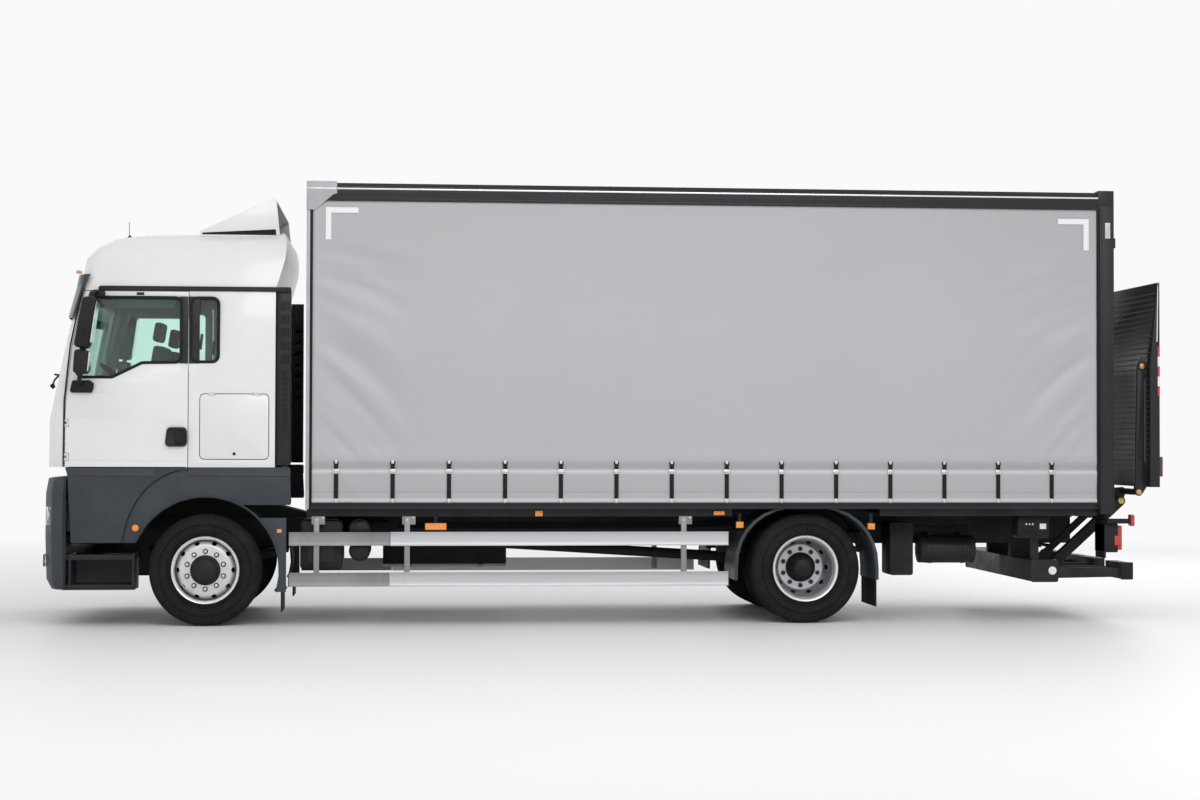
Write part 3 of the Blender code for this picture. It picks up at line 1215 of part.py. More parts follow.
def curtain():
    """The left curtain as one sheet with its welded belt and the straps that pull it down."""
    y = (-CURTAIN_Y, -CURTAIN_Y + CURTAIN)
    sheet = box((CURTAIN_FRONT, BODY_REAR - 0.006), y, (CURTAIN_LOW, CURTAIN_TOP - SEAT_GAP))
    straps = []
    for i in range(STRAPS):
        x = STRAP_FIRST + STRAP_PITCH * i
        straps.append(box((x - 0.022, x + 0.022), (y[0] - 0.005, y[0] + 0.004), (1.122, 1.468)))
    return joined(sheet, *straps)


def tail_lamp():
    """Lamp box on the hanger under the rear frame, with its marker arm, left side."""
    outer = -BODY_HALF_WIDTH + 0.125
    inner = outer + 0.290
    plate = box((8.200, 8.330), (outer, inner), (0.640, 0.900))
    hanger = box((8.200, 8.215), (outer + 0.020, inner - 0.020), (0.584, SILL_LOW - SEAT_GAP))
    lens = prism(rounded([(outer + 0.010, 0.660), (inner - 0.010, 0.660), (inner - 0.010, 0.880),
                          (outer + 0.010, 0.880)], 0.02, 1), 8.320, 8.365, "x")
    arm = box((8.205, 8.430), (outer - 0.055, outer + 0.030), (0.905, 0.945))
    tip = prism(rounded([(8.425, 0.880), (8.461, 0.880), (8.461, 0.985), (8.425, 0.985)], 0.008, 1),
                outer - 0.065, outer + 0.020)
    return joined(plate, hanger, lens, arm, tip)


# Tail lift: parallel arms and links carry a head, and the platform hinges on the head
ARM_HEIGHT = 0.090
LINK_HEIGHT = 0.060
LIFT_TUBE = ((7.507, 7.752), (0.370, 0.564))
UNDERRUN = ((8.331, 8.435), (0.395, 0.543))
UNDERRUN_INNER = 0.44
UNDERRUN_OUTER = (0.77, 1.22)
CROSS_TUBE_REACH = 0.66
CROSS_TUBE_SINK = 0.022
CROSS_TUBE_RADIUS = 0.026
LINK_TIE_REACH = 0.105
LINK_TIE_RADIUS = 0.016
HEAD_TUBE_RADIUS = 0.030
SIDE_ARM_Y = PLATFORM_HALF_WIDTH - 0.115
SIDE_ARM = 0.050


def offset_point(point):
    return (point[0] + LINK_OFFSET[0], point[1] + LINK_OFFSET[1])


def along_arm(start, reach, sink=0.0):
    """The point at a distance from the lower pivot towards the head, and below that line by a sink."""
    run = Vector((ARM_HEAD[0] - ARM_BASE[0], ARM_HEAD[1] - ARM_BASE[1])).normalized()
    return (start[0] + run.x * reach + run.y * sink, start[1] + run.y * reach - run.x * sink)


def pins(arm_point, y):
    """Pivot pins that stand out of a cheek: outwards for the arm, inwards for the link."""
    link_point = offset_point(arm_point)
    arm_tip = -(ARM_Y + ARM_WIDTH / 2 + 0.006)
    link_tip = -(LINK_Y - LINK_WIDTH / 2 - 0.006)
    return [
        rod((arm_point[0], 0, arm_point[1]), PIVOT_RADIUS, arm_tip, y),
        rod((link_point[0], 0, link_point[1]), PIVOT_RADIUS, y, link_tip),
    ]


def lift_base():
    """Cross tube hung from the frame, pivot cheeks, underrun bars and the control box."""
    x, z = LIFT_TUBE
    shapes = []
    left = []
    cheek = [(7.600, z[0] + 0.002), (7.760, 0.362), (7.900, 0.450), (7.915, 0.540), (7.860, 0.635),
             (7.780, 0.640), (7.700, z[1] - 0.002), (7.600, z[1] - 0.002)]
    cheek_y = (-CHEEK_Y - CHEEK_WALL / 2, -CHEEK_Y + CHEEK_WALL / 2)
    left.append(prism(cheek, *cheek_y))
    left += pins(ARM_BASE, -CHEEK_Y)
    left.append(box((x[0] + 0.01, x[1] - 0.01), (-RAIL_Y + 0.002, -RAIL_Y + 0.060), (z[1] - 0.01, RAIL_LOW - SEAT_GAP)))
    bar_x, bar_z = UNDERRUN
    left.append(box(bar_x, (-UNDERRUN_OUTER[1], -UNDERRUN_OUTER[0]), bar_z))
    for y in (0.30, 0.82, 1.12):
        bracket = [(x[1] - 0.02, 0.400), (bar_x[0] + 0.02, 0.410), (bar_x[0] + 0.02, 0.490), (x[1] - 0.02, 0.505)]
        left.append(prism(bracket, -y - 0.020, -y + 0.020))
    for shape in left:
        shapes.append(shape)
        shapes.append(mirrored(shape))
    shapes.append(box(bar_x, (-UNDERRUN_INNER, UNDERRUN_INNER), bar_z))
    shapes.append(prism(rounded([(7.400, 0.766), (7.690, 0.766), (7.690, 0.960), (7.400, 0.960)], 0.015, 1),
                        -1.095, -0.900))
    shapes.append(box((7.550, 7.610), (-1.030, -0.970), (z[1] - 0.01, 0.780)))
    return joined(box(x, (-1.150, 1.150), z), *shapes)


def round_ended(start, end, half, steps=5):
    """The outline of a flat bar with round ends about two points."""
    angle = math.degrees(math.atan2(end[1] - start[1], end[0] - start[0]))
    return arc(end, half, angle - 90, angle + 90, steps) + arc(start, half, angle + 90, angle + 270, steps)


def pivot_bores(start, end, middle, width):
    """Cutters for the bores at both ends of an arm or link on the left."""
    y = (-middle - width, -middle + width)
    return [rod((x, 0, z), bore(PIVOT_RADIUS), *y) for x, z in (start, end)]


def paired_bars(start, end, middle, width, height, tie, tie_radius):
    """Left and right bars on the same pivots, tied by a cross tube."""
    left = prism(round_ended(start, end, height / 2), -middle - width / 2, -middle + width / 2)
    left = cut(left, *pivot_bores(start, end, middle, width))
    tube = rod((tie[0], 0, tie[1]), tie_radius, -middle, middle)
    return joined(left, mirrored(left), tube)


def lift_arms():
    tie = along_arm(ARM_BASE, CROSS_TUBE_REACH, CROSS_TUBE_SINK)
    return paired_bars(ARM_BASE, ARM_HEAD, ARM_Y, ARM_WIDTH, ARM_HEIGHT, tie, CROSS_TUBE_RADIUS)


def tilt_links():
    start, end = offset_point(ARM_BASE), offset_point(ARM_HEAD)
    tie = along_arm(start, LINK_TIE_REACH)
    return paired_bars(start, end, LINK_Y, LINK_WIDTH, LINK_HEIGHT, tie, LINK_TIE_RADIUS)


def lift_head():
    """Two plates on the arms' ends and the tube between the platform's hinge pins."""
    x, z = PLATFORM_HINGE
    tube_end = SIDE_ARM_Y - SIDE_ARM / 2 - 0.006
    pin_end = SIDE_ARM_Y + SIDE_ARM / 2 + 0.010
    plate = [(8.418, 1.150), (8.430, 1.205), (8.480, 1.222), (8.560, 1.228), (8.590, 1.200), (8.560, 1.100),
             (8.520, 1.060), (8.480, 1.058), (8.450, 1.085)]
    y = (-CHEEK_Y - CHEEK_WALL / 2, -CHEEK_Y + CHEEK_WALL / 2)
    left = [prism(plate, *y)] + pins(ARM_HEAD, -CHEEK_Y)
    half = [(PIVOT_RADIUS, pin_end), (PIVOT_RADIUS, tube_end), (HEAD_TUBE_RADIUS, tube_end)]
    profile = [(0, pin_end)] + half + [(r, -s) for r, s in reversed(half)] + [(0, -pin_end)]
    shapes = []
    for shape in left:
        shapes.append(shape)
        shapes.append(mirrored(shape))
    return joined(turned(profile, (x, 0, z), 12), *shapes)


def platform():
    """Wedge-shaped loading plate with two side arms that hinge on the head."""
    x, z = PLATFORM_HINGE
    face, rear = PLATFORM_FACE, LIFT_REAR
    wedge = [(face, PLATFORM_LOW), (rear, PLATFORM_LOW), (rear, PLATFORM_TIP), (rear - 0.018, PLATFORM_TIP),
             (face, 2.350)]
    plate = prism(wedge, -PLATFORM_HALF_WIDTH, PLATFORM_HALF_WIDTH)
    arm = [(x - 0.032, z - 0.020), (x + 0.010, z - 0.036), (x + 0.040, z - 0.010), (face + 0.004, z + 0.060),
           (face + 0.004, 1.420), (8.602, 1.480), (8.602, 2.230), (face + 0.004, 2.290), (face + 0.012, 2.440),
           (8.575, 2.450), (8.540, 2.360), (8.520, 1.420)]
    y = (-SIDE_ARM_Y - SIDE_ARM / 2, -SIDE_ARM_Y + SIDE_ARM / 2)
    left = cut(prism(arm, *y), rod((x, 0, z), bore(PIVOT_RADIUS), y[0] - 0.01, y[1] + 0.01))
    return joined(plate, left, mirrored(left))


# Assembly
def build():
    make_materials()
    pivot("truck", (0, 0, 0))
    mid_hatch = (HATCH[0][0] + HATCH[1][0]) / 2
    for side, s in SIDES.items():
        pivot("steer_" + side, (0, s * KINGPIN_Y, HUB_HEIGHT), "truck")
        pivot("front_wheel_" + side, (0, s * FRONT_WHEEL_Y, HUB_HEIGHT), "steer_" + side)
        pivot("rear_wheel_" + side, (WHEELBASE, s * (REAR_WHEEL_Y - TWIN_SPACING / 2), HUB_HEIGHT), "truck")
        pivot("door_" + side, (DOOR_HINGE_X, s * (CAB_HALF_WIDTH - 0.002), 1.80), "truck")
        pivot("hatch_" + side, (mid_hatch, s * CAB_HALF_WIDTH, HATCH[2][1]), "truck")
    flap_x = section_at(CAB_SECTIONS, FLAP_TOP)[1]
    pivot("flap", (flap_x, 0, FLAP_TOP), "truck")
    pivot("arms", (ARM_BASE[0], 0, ARM_BASE[1]), "truck")
    link_base = offset_point(ARM_BASE)
    pivot("links", (link_base[0], 0, link_base[1]), "truck")
    pivot("head", (ARM_HEAD[0], 0, ARM_HEAD[1]), "arms")
    pivot("platform", (PLATFORM_HINGE[0], 0, PLATFORM_HINGE[1]), "head")

    node("ladder_frame", ladder_frame(), "chassis_paint")
    node("driveline", driveline(), "chassis_paint")
    node("front_axle", front_axle(), "chassis_paint")
    node("rear_axle", rear_axle(), "chassis_paint")
    node("fuel_tank", fuel_tank(), "aluminium")
    node("battery_and_air", battery_and_air(), "black_plastic")
    both_sides("side_guard", side_guard(), "aluminium")
    both_sides("rear_mudguard", rear_mudguard(), "grey_plastic")

    both_sides("knuckle", knuckle(), "chassis_paint", "steer")
    both_sides("front_rim", front_rim(), "wheel_silver", "front_wheel")
    both_sides("front_tyre", tyre(-FRONT_WHEEL_Y), "rubber", "front_wheel")
    both_sides("rear_rims", twin_rims(), "wheel_silver", "rear_wheel")
    for name, y in (("outer", REAR_WHEEL_Y), ("inner", REAR_WHEEL_Y - TWIN_SPACING)):
        twin = tyre(-y)
        twin.data.transform(Matrix.Translation((WHEELBASE, 0, 0)))
        both_sides("rear_tyre_" + name, twin, "rubber", "rear_wheel")

    node("cab_shell", cab_shell(), "white_paint")
    node("cab_roof", cab_roof(), "white_paint")
    node("cab_rear", cab_rear(), "black_plastic")
    node("cab_interior", cab_interior(), "seat_cloth")
    node("windscreen", pane(WINDSCREEN, FRONT_REACH, "x"), "glass")
    both_sides("quarter_window", pane(QUARTER_WINDOW, SIDE_REACH, "y"), "glass")
    both_sides("wheel_arch", wheel_arch(), "grey_plastic")
    node("sun_visor", sun_visor(), "black_plastic")
    node("roof_deflector", roof_deflector(), "white_paint")
    node("front_bumper", front_bumper(), "grey_plastic")
    both_sides("headlamp", headlamp(), "lamp")
    both_sides("door", door(), "white_paint", "door")
    both_sides("door_glass", pane(WINDOW, SIDE_REACH, "y"), "glass", "door")
    both_sides("mirror", mirror(), "black_plastic", "door")
    both_sides("locker_hatch", hung(side_panel(hatch_outline()), hatch_hinges()), "white_paint", "hatch")
    node("front_flap", front_flap(), "white_paint", "flap")

    node("body_floor", body_floor(), "chassis_paint")
    node("front_bulkhead", front_bulkhead(), "aluminium")
    node("body_roof", body_roof(), "chassis_paint")
    node("rear_frame", rear_frame(), "chassis_paint")
    both_sides("rear_door", rear_door(), "chassis_paint")
    both_sides("curtain", curtain(), "curtain_fabric")
    both_sides("tail_lamp", tail_lamp(), "red_lamp")

    node("lift_base", lift_base(), "chassis_paint")
    node("lift_arms", lift_arms(), "chassis_paint", "arms")
    node("tilt_links", tilt_links(), "chassis_paint", "links")
    node("lift_head", lift_head(), "chassis_paint", "head")
    node("platform", platform(), "chassis_paint", "platform")


for old in list(bpy.data.objects):
    bpy.data.objects.remove(old)
build()
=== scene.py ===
"""Looks of the curtainside truck: finishes, fine parts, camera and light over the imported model.

Metres, +Z up. Places are given as on the truck itself: x from the front axle, y from the middle
and z from the ground. fit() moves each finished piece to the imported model's own origin.
A piece is described once, on the left, and the right one is its mirror image. The numbers in a
block, bar or plate are its own places; what several pieces share has a name.
"""

import json
import math

import bpy
from mathutils import Matrix, Vector, noise

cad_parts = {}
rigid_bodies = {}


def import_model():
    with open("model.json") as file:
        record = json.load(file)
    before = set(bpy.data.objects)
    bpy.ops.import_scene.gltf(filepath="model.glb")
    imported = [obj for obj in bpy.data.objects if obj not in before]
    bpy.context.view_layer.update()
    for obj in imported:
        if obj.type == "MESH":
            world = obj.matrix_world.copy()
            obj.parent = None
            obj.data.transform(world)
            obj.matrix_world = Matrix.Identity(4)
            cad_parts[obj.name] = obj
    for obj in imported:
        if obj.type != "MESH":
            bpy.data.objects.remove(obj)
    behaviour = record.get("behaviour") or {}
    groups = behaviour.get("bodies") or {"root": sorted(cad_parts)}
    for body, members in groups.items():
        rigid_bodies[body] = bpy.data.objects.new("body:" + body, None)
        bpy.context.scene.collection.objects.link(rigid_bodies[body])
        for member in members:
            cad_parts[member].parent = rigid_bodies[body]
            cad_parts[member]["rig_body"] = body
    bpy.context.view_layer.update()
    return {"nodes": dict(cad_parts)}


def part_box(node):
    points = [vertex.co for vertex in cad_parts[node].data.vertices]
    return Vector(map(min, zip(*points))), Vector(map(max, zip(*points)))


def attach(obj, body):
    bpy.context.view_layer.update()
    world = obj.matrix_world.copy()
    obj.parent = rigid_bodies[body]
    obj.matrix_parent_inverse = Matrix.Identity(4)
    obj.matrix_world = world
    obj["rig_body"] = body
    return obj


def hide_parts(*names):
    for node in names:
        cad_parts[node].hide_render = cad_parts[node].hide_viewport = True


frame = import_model()

# Driving sizes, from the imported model
tyre_low, tyre_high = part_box("front_tyre_left")
AXLE_X = (tyre_low.x + tyre_high.x) / 2
HUB_HEIGHT = (tyre_low.z + tyre_high.z) / 2
ROLLING_RADIUS = HUB_HEIGHT
FRONT_WHEEL_Y = -(tyre_low.y + tyre_high.y) / 2


def box(node):
    """A node's lowest and highest corner, x from the front axle."""
    low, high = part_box(node)
    shift = Vector((AXLE_X, 0, 0))
    return low - shift, high - shift


# Camera, where the photograph was taken from
LENS = 63.6
CAMERA_PLACE = (1.796, -20.242, 1.647)
CAMERA_YAW = -0.0899
CAMERA_PITCH = 0.0196
CAMERA_ROLL = 0.0025

camera = bpy.data.objects.new("camera", bpy.data.cameras.new("camera"))
camera.data.lens = LENS
camera.data.clip_end = 300
turn = Matrix.Rotation(CAMERA_YAW, 4, "Z") @ Matrix.Rotation(math.pi / 2 + CAMERA_PITCH, 4, "X")
camera.matrix_world = (
    Matrix.Translation(Vector(CAMERA_PLACE) + Vector((AXLE_X, 0, 0)))
    @ turn @ Matrix.Rotation(CAMERA_ROLL, 4, "Z")
)
bpy.context.scene.collection.objects.link(camera)
bpy.context.scene.camera = camera


# Node trees
def add_node(tree, kind, values=None, **settings):
    """A new node with its settings, and the values of its inputs by their names."""
    made = tree.nodes.new(kind)
    for key, value in settings.items():
        setattr(made, key, value)
    for key, value in (values or {}).items():
        made.inputs[key].default_value = value
    return made


def link(tree, *pairs):
    """Links (output, input) pairs."""
    for source, target in pairs:
        tree.links.new(source, target)


def camera_sees(tree):
    """A factor of one for rays that show the background: straight, mirrored or through glass."""
    path = add_node(tree, "ShaderNodeLightPath")
    either = add_node(tree, "ShaderNodeMath", operation="MAXIMUM")
    both = add_node(tree, "ShaderNodeMath", operation="MAXIMUM")
    link(tree,
         (path.outputs["Is Camera Ray"], either.inputs[0]),
         (path.outputs["Is Glossy Ray"], either.inputs[1]),
         (either.outputs[0], both.inputs[0]),
         (path.outputs["Is Transmission Ray"], both.inputs[1]))
    return both.outputs[0]


# Light and floor
SKY_LIGHT = 0.70
BACKDROP = (0.955, 0.955, 0.965, 1)
FLOOR_SIZE = 240
FLOOR_TONE = (0.93, 0.93, 0.94, 1)
FLOOR_ROUGHNESS = 0.55
FLOOR_FADE = (5.5, 18.0)

world = bpy.data.worlds.new("studio")
bpy.context.scene.world = world
world.use_nodes = True
sky = world.node_tree
sky.nodes.clear()
light = add_node(sky, "ShaderNodeBackground", {"Color": (1, 1, 1, 1), "Strength": SKY_LIGHT})
seen = add_node(sky, "ShaderNodeBackground", {"Color": BACKDROP, "Strength": 1.0})
mixed = add_node(sky, "ShaderNodeMixShader")
world_out = add_node(sky, "ShaderNodeOutputWorld")
link(sky,
     (camera_sees(sky), mixed.inputs[0]),
     (light.outputs[0], mixed.inputs[1]),
     (seen.outputs[0], mixed.inputs[2]),
     (mixed.outputs[0], world_out.inputs["Surface"]))


def floor_material():
    """Pale floor that keeps the shadow near the truck and fades into the backdrop far away."""
    made = bpy.data.materials.new("studio_floor")
    made.use_nodes = True
    tree = made.node_tree
    shader = tree.nodes["Principled BSDF"]
    shader.inputs["Base Color"].default_value = FLOOR_TONE
    shader.inputs["Roughness"].default_value = FLOOR_ROUGHNESS
    glow = add_node(tree, "ShaderNodeEmission", {"Color": BACKDROP})
    coordinates = add_node(tree, "ShaderNodeTexCoord")
    distance = add_node(tree, "ShaderNodeVectorMath", operation="LENGTH")
    fade = add_node(tree, "ShaderNodeMapRange", {"From Min": FLOOR_FADE[0], "From Max": FLOOR_FADE[1]})
    share = add_node(tree, "ShaderNodeMath", operation="MULTIPLY")
    mix = add_node(tree, "ShaderNodeMixShader")
    link(tree,
         (coordinates.outputs["Object"], distance.inputs[0]),
         (distance.outputs["Value"], fade.inputs["Value"]),
         (fade.outputs[0], share.inputs[0]),
         (camera_sees(tree), share.inputs[1]),
         (share.outputs[0], mix.inputs[0]),
         (shader.outputs[0], mix.inputs[1]),
         (glow.outputs[0], mix.inputs[2]),
         (mix.outputs[0], tree.nodes["Material Output"].inputs["Surface"]))
    return made


bpy.ops.object.select_all(action="DESELECT")
bpy.ops.mesh.primitive_plane_add(size=FLOOR_SIZE)
floor = bpy.context.active_object
floor.name = "studio_floor"
floor.data.materials.append(floor_material())

KEY_LIGHTS = (
    # name, place, aim, width, height, power
    ("key", (0.5, -11.0, 7.8), (0.0, 0.0, 1.8), 11.0, 5.0, 445.0),
    ("rear_fill", (9.0, 9.0, 6.0), (1.0, 0.0, 1.0), 8.0, 5.0, 300.0),
)
for name, place, aim, width, height, power in KEY_LIGHTS:
    lamp = bpy.data.lights.new(name, "AREA")
    lamp.shape = "RECTANGLE"
    lamp.size = width
    lamp.size_y = height
    lamp.energy = power
    carrier = bpy.data.objects.new(name, lamp)
    carrier.location = place
    carrier.rotation_euler = (Vector(aim) - Vector(place)).to_track_quat("-Z", "Y").to_euler()
    bpy.context.scene.collection.objects.link(carrier)

bpy.context.scene.view_settings.view_transform = "Standard"


# Finishes. tones: darkest and lightest colour; rough: its lowest and highest value; mottle: the slow
# variation per metre; grain: fine relief per metre; relief: its depth; stretch: its scale along the axes
FINISH_TABLE = {
    "white_paint": dict(slot="white_paint", tones=((0.80, 0.80, 0.81), (0.84, 0.84, 0.85)),
                        rough=(0.26, 0.34), mottle=1.1, grain=55, relief=0.00004, coat=0.5),
    "anthracite": dict(slot="grey_plastic", tones=((0.036, 0.042, 0.049), (0.052, 0.059, 0.067)),
                       rough=(0.40, 0.52), mottle=2.5, grain=700, relief=0.00012, specular=0.3),
    "black_plastic": dict(slot="black_plastic", tones=((0.010, 0.010, 0.012), (0.022, 0.022, 0.024)),
                          rough=(0.40, 0.58), mottle=3.0, grain=900, relief=0.00010, specular=0.2),
    "trim_black": dict(slot="black_plastic", tones=((0.018, 0.020, 0.023), (0.030, 0.032, 0.036)),
                       rough=(0.30, 0.42), mottle=4.0, grain=500, relief=0.00008, specular=0.2),
    # Black rubber, also used for dark blocks painted as the shade in slots and under the deflector
    "rubber_and_painted_shade": dict(slot="rubber", tones=((0.008, 0.008, 0.009), (0.016, 0.016, 0.017)),
                        rough=(0.60, 0.75), mottle=8.0, grain=900, relief=0.00008, specular=0.2),
    "chassis": dict(slot="chassis_paint", tones=((0.012, 0.013, 0.015), (0.034, 0.034, 0.035)),
                    rough=(0.42, 0.70), mottle=4.0, grain=220, relief=0.00020, specular=0.2),
    "body_black": dict(slot="chassis_paint", tones=((0.0136, 0.0155, 0.0174), (0.0198, 0.0217, 0.0242)),
                       rough=(0.30, 0.42), mottle=1.6, grain=90, relief=0.00006, specular=0.3),
    "planked_aluminium": dict(slot="aluminium", tones=((0.50, 0.51, 0.52), (0.58, 0.59, 0.60)), metallic=0.85,
                              rough=(0.34, 0.46), mottle=3.0, grain=300, relief=0.00010,
                              stretch=(0.04, 1, 1)),
    "dull_aluminium": dict(slot="aluminium", tones=((0.25, 0.25, 0.26), (0.33, 0.33, 0.34)), metallic=0.8,
                           rough=(0.40, 0.55), mottle=3.0, grain=300, relief=0.00015, stretch=(1, 1, 0.05)),
    "grey_casting": dict(slot="aluminium", tones=((0.40, 0.40, 0.42), (0.48, 0.48, 0.50)),
                         rough=(0.40, 0.55), mottle=6.0, grain=260, relief=0.00020),
    "zinc": dict(slot="aluminium", tones=((0.50, 0.51, 0.52), (0.70, 0.70, 0.70)), metallic=1.0,
                 rough=(0.28, 0.45), mottle=30.0, grain=500, relief=0.00005),
    "brass": dict(slot="aluminium", tones=((0.50, 0.33, 0.10), (0.62, 0.43, 0.15)), metallic=1.0,
                  rough=(0.28, 0.42), mottle=30.0, grain=600, relief=0.00005),
    "wheel_paint": dict(slot="wheel_silver", tones=((0.60, 0.61, 0.62), (0.72, 0.73, 0.74)), metallic=0.35,
                        rough=(0.30, 0.44), mottle=9.0, grain=420, relief=0.00010),
    # A lighter copy of the wheel paint, painted as the highlight on rim lips and other bright edges
    "wheel_painted_highlight": dict(slot="wheel_silver", tones=((0.78, 0.78, 0.79), (0.86, 0.86, 0.87)), metallic=0.4,
                         rough=(0.18, 0.28), mottle=12.0, grain=420, relief=0.00004),
    # A darker copy of the wheel paint, painted as the shade in rim barrels, the rear dish and round the rear
    # nuts
    "wheel_painted_shade": dict(slot="wheel_silver", tones=((0.16, 0.17, 0.19), (0.30, 0.31, 0.33)), metallic=0.4,
                        rough=(0.40, 0.55), mottle=12.0, grain=420, relief=0.00010),
    "tyre_rubber": dict(slot="rubber", tones=((0.013, 0.013, 0.014), (0.026, 0.026, 0.026)),
                        rough=(0.62, 0.82), mottle=7.0, grain=520, relief=0.00025, specular=0.2),
    "mud_rubber": dict(slot="rubber", tones=((0.010, 0.010, 0.011), (0.024, 0.023, 0.023)),
                       rough=(0.60, 0.80), mottle=5.0, grain=260, relief=0.00030, specular=0.2),
    "webbing": dict(slot="rubber", tones=((0.010, 0.010, 0.011), (0.020, 0.020, 0.022)),
                    rough=(0.70, 0.85), mottle=60.0, grain=1400, relief=0.00035,
                    stretch=(1, 1, 0.4), specular=0.2),
    "seat_cloth": dict(slot="seat_cloth", tones=((0.035, 0.037, 0.042), (0.080, 0.083, 0.090)),
                       rough=(0.85, 0.95), mottle=90.0, grain=1100, relief=0.00040, sheen=0.3),
    "cabin_plastic": dict(slot="grey_plastic", tones=((0.050, 0.052, 0.056), (0.075, 0.078, 0.082)),
                          rough=(0.50, 0.65), mottle=5.0, grain=900, relief=0.00020),
    "cabin_liner": dict(slot="grey_plastic", tones=((0.20, 0.21, 0.22), (0.27, 0.28, 0.29)),
                        rough=(0.75, 0.90), mottle=14.0, grain=1000, relief=0.00025),
    "deck_board": dict(slot="chassis_paint", tones=((0.050, 0.032, 0.020), (0.095, 0.062, 0.038)),
                       rough=(0.45, 0.65), mottle=5.0, grain=350, relief=0.00030, stretch=(0.08, 1, 1)),
    "reflective_white": dict(slot="lamp", tones=((0.80, 0.80, 0.80), (0.88, 0.88, 0.88)),
                             rough=(0.30, 0.40), mottle=60.0, grain=420, relief=0.00020),
    "reflective_red": dict(slot="red_lamp", tones=((0.55, 0.03, 0.03), (0.68, 0.05, 0.05)),
                           rough=(0.30, 0.40), mottle=60.0, grain=420, relief=0.00020),
    "amber_lens": dict(slot="lamp", tones=((0.85, 0.26, 0.02), (0.95, 0.36, 0.04)),
                       rough=(0.12, 0.22), mottle=40.0, grain=300, relief=0.00030, coat=0.8),
    "red_lens": dict(slot="red_lamp", tones=((0.42, 0.015, 0.012), (0.58, 0.03, 0.02)),
                     rough=(0.12, 0.22), mottle=40.0, grain=300, relief=0.00030, coat=0.8),
    "dark_red_lens": dict(slot="red_lamp", tones=((0.070, 0.006, 0.008), (0.110, 0.010, 0.012)),
                          rough=(0.12, 0.22), mottle=40.0, grain=300, relief=0.00030, coat=0.8),
    "lamp_chrome": dict(slot="lamp", tones=((0.70, 0.71, 0.73), (0.85, 0.86, 0.88)), metallic=1.0,
                        rough=(0.08, 0.20), mottle=40.0, grain=160, relief=0.00060),
}
# Clear finishes: colour, roughness, share of light let through
CLEAR_TABLE = {
    "green_glass": dict(slot="glass", colour=(0.74, 0.93, 0.86), rough=0.0, through=1.0),
    "smoked_visor": dict(slot="glass", colour=(0.055, 0.065, 0.075), rough=0.06, through=0.30),
    "lamp_glass": dict(slot="lamp", colour=(0.93, 0.95, 0.97), rough=0.02, through=0.92),
}
FINISHES = {}
MOTTLE_STOPS = (0.35, 0.68)
MOTTLE_RANGE = (0.3, 0.7)
COAT_ROUGHNESS = 0.08
GLASS_IOR = 1.45
SMEAR = 0.02


def toned_tree(tree, shader, facts):
    """Colour and roughness that vary slowly over a surface, and a fine relief."""
    coordinates = add_node(tree, "ShaderNodeTexCoord")
    mapping = add_node(tree, "ShaderNodeMapping", {"Scale": facts.get("stretch", (1, 1, 1))})
    slow = add_node(tree, "ShaderNodeTexNoise", {"Scale": facts["mottle"], "Detail": 6.0, "Roughness": 0.6})
    ramp = add_node(tree, "ShaderNodeValToRGB")
    for stop, place, tone in zip(ramp.color_ramp.elements, MOTTLE_STOPS, facts["tones"]):
        stop.position = place
        stop.color = (*tone, 1)
    rough = add_node(tree, "ShaderNodeMapRange", {
        "From Min": MOTTLE_RANGE[0],
        "From Max": MOTTLE_RANGE[1],
        "To Min": facts["rough"][0],
        "To Max": facts["rough"][1],
    })
    fine = add_node(tree, "ShaderNodeTexNoise", {"Scale": facts["grain"], "Detail": 3.0})
    bump = add_node(tree, "ShaderNodeBump", {"Distance": facts["relief"]})
    link(tree,
         (coordinates.outputs["Object"], mapping.inputs["Vector"]),
         (mapping.outputs[0], slow.inputs["Vector"]),
         (mapping.outputs[0], fine.inputs["Vector"]),
         (slow.outputs[0], ramp.inputs[0]),
         (slow.outputs[0], rough.inputs["Value"]),
         (fine.outputs[0], bump.inputs["Height"]),
         (ramp.outputs[0], shader.inputs["Base Color"]),
         (rough.outputs[0], shader.inputs["Roughness"]),
         (bump.outputs[0], shader.inputs["Normal"]))
    return coordinates, ramp, bump


def new_material(name, facts):
    """An empty finish, kept by its name; gives its tree and shader."""
    made = bpy.data.materials.new(name)
    made.use_nodes = True
    made["part_slot"] = facts["slot"]
    FINISHES[name] = made
    return made.node_tree, made.node_tree.nodes["Principled BSDF"]


for name, facts in FINISH_TABLE.items():
    tree, shader = new_material(name, facts)
    toned_tree(tree, shader, facts)
    shader.inputs["Metallic"].default_value = facts.get("metallic", 0.0)
    shader.inputs["Coat Weight"].default_value = facts.get("coat", 0.0)
    shader.inputs["Coat Roughness"].default_value = COAT_ROUGHNESS
    shader.inputs["Sheen Weight"].default_value = facts.get("sheen", 0.0)
    shader.inputs["Specular IOR Level"].default_value = facts.get("specular", 0.5)

for name, facts in CLEAR_TABLE.items():
    tree, shader = new_material(name, facts)
    film = add_node(tree, "ShaderNodeTexNoise", {"Scale": 9.0, "Detail": 2.0})
    coordinates = add_node(tree, "ShaderNodeTexCoord")
    smear = add_node(tree, "ShaderNodeMapRange", {"To Min": facts["rough"], "To Max": facts["rough"] + SMEAR})
    link(tree,
         (coordinates.outputs["Object"], film.inputs["Vector"]),
         (film.outputs[0], smear.inputs["Value"]),
         (smear.outputs[0], shader.inputs["Roughness"]))
    shader.inputs["Base Color"].default_value = (*facts["colour"], 1)
    shader.inputs["Transmission Weight"].default_value = facts["through"]
    shader.inputs["IOR"].default_value = GLASS_IOR

CURTAIN_FACTS = dict(slot="curtain_fabric", tones=((0.590, 0.583, 0.611), (0.607, 0.601, 0.630)),
                     rough=(0.36, 0.46), mottle=0.6, grain=900, relief=0.00015)
# The weave's threads per metre, and the wave texture's scale, which counts in radians
WEAVE_THREADS = 1.0 / 0.004
WEAVE_SCALE = WEAVE_THREADS / 6.283
WEAVE_RELIEF = 0.00012
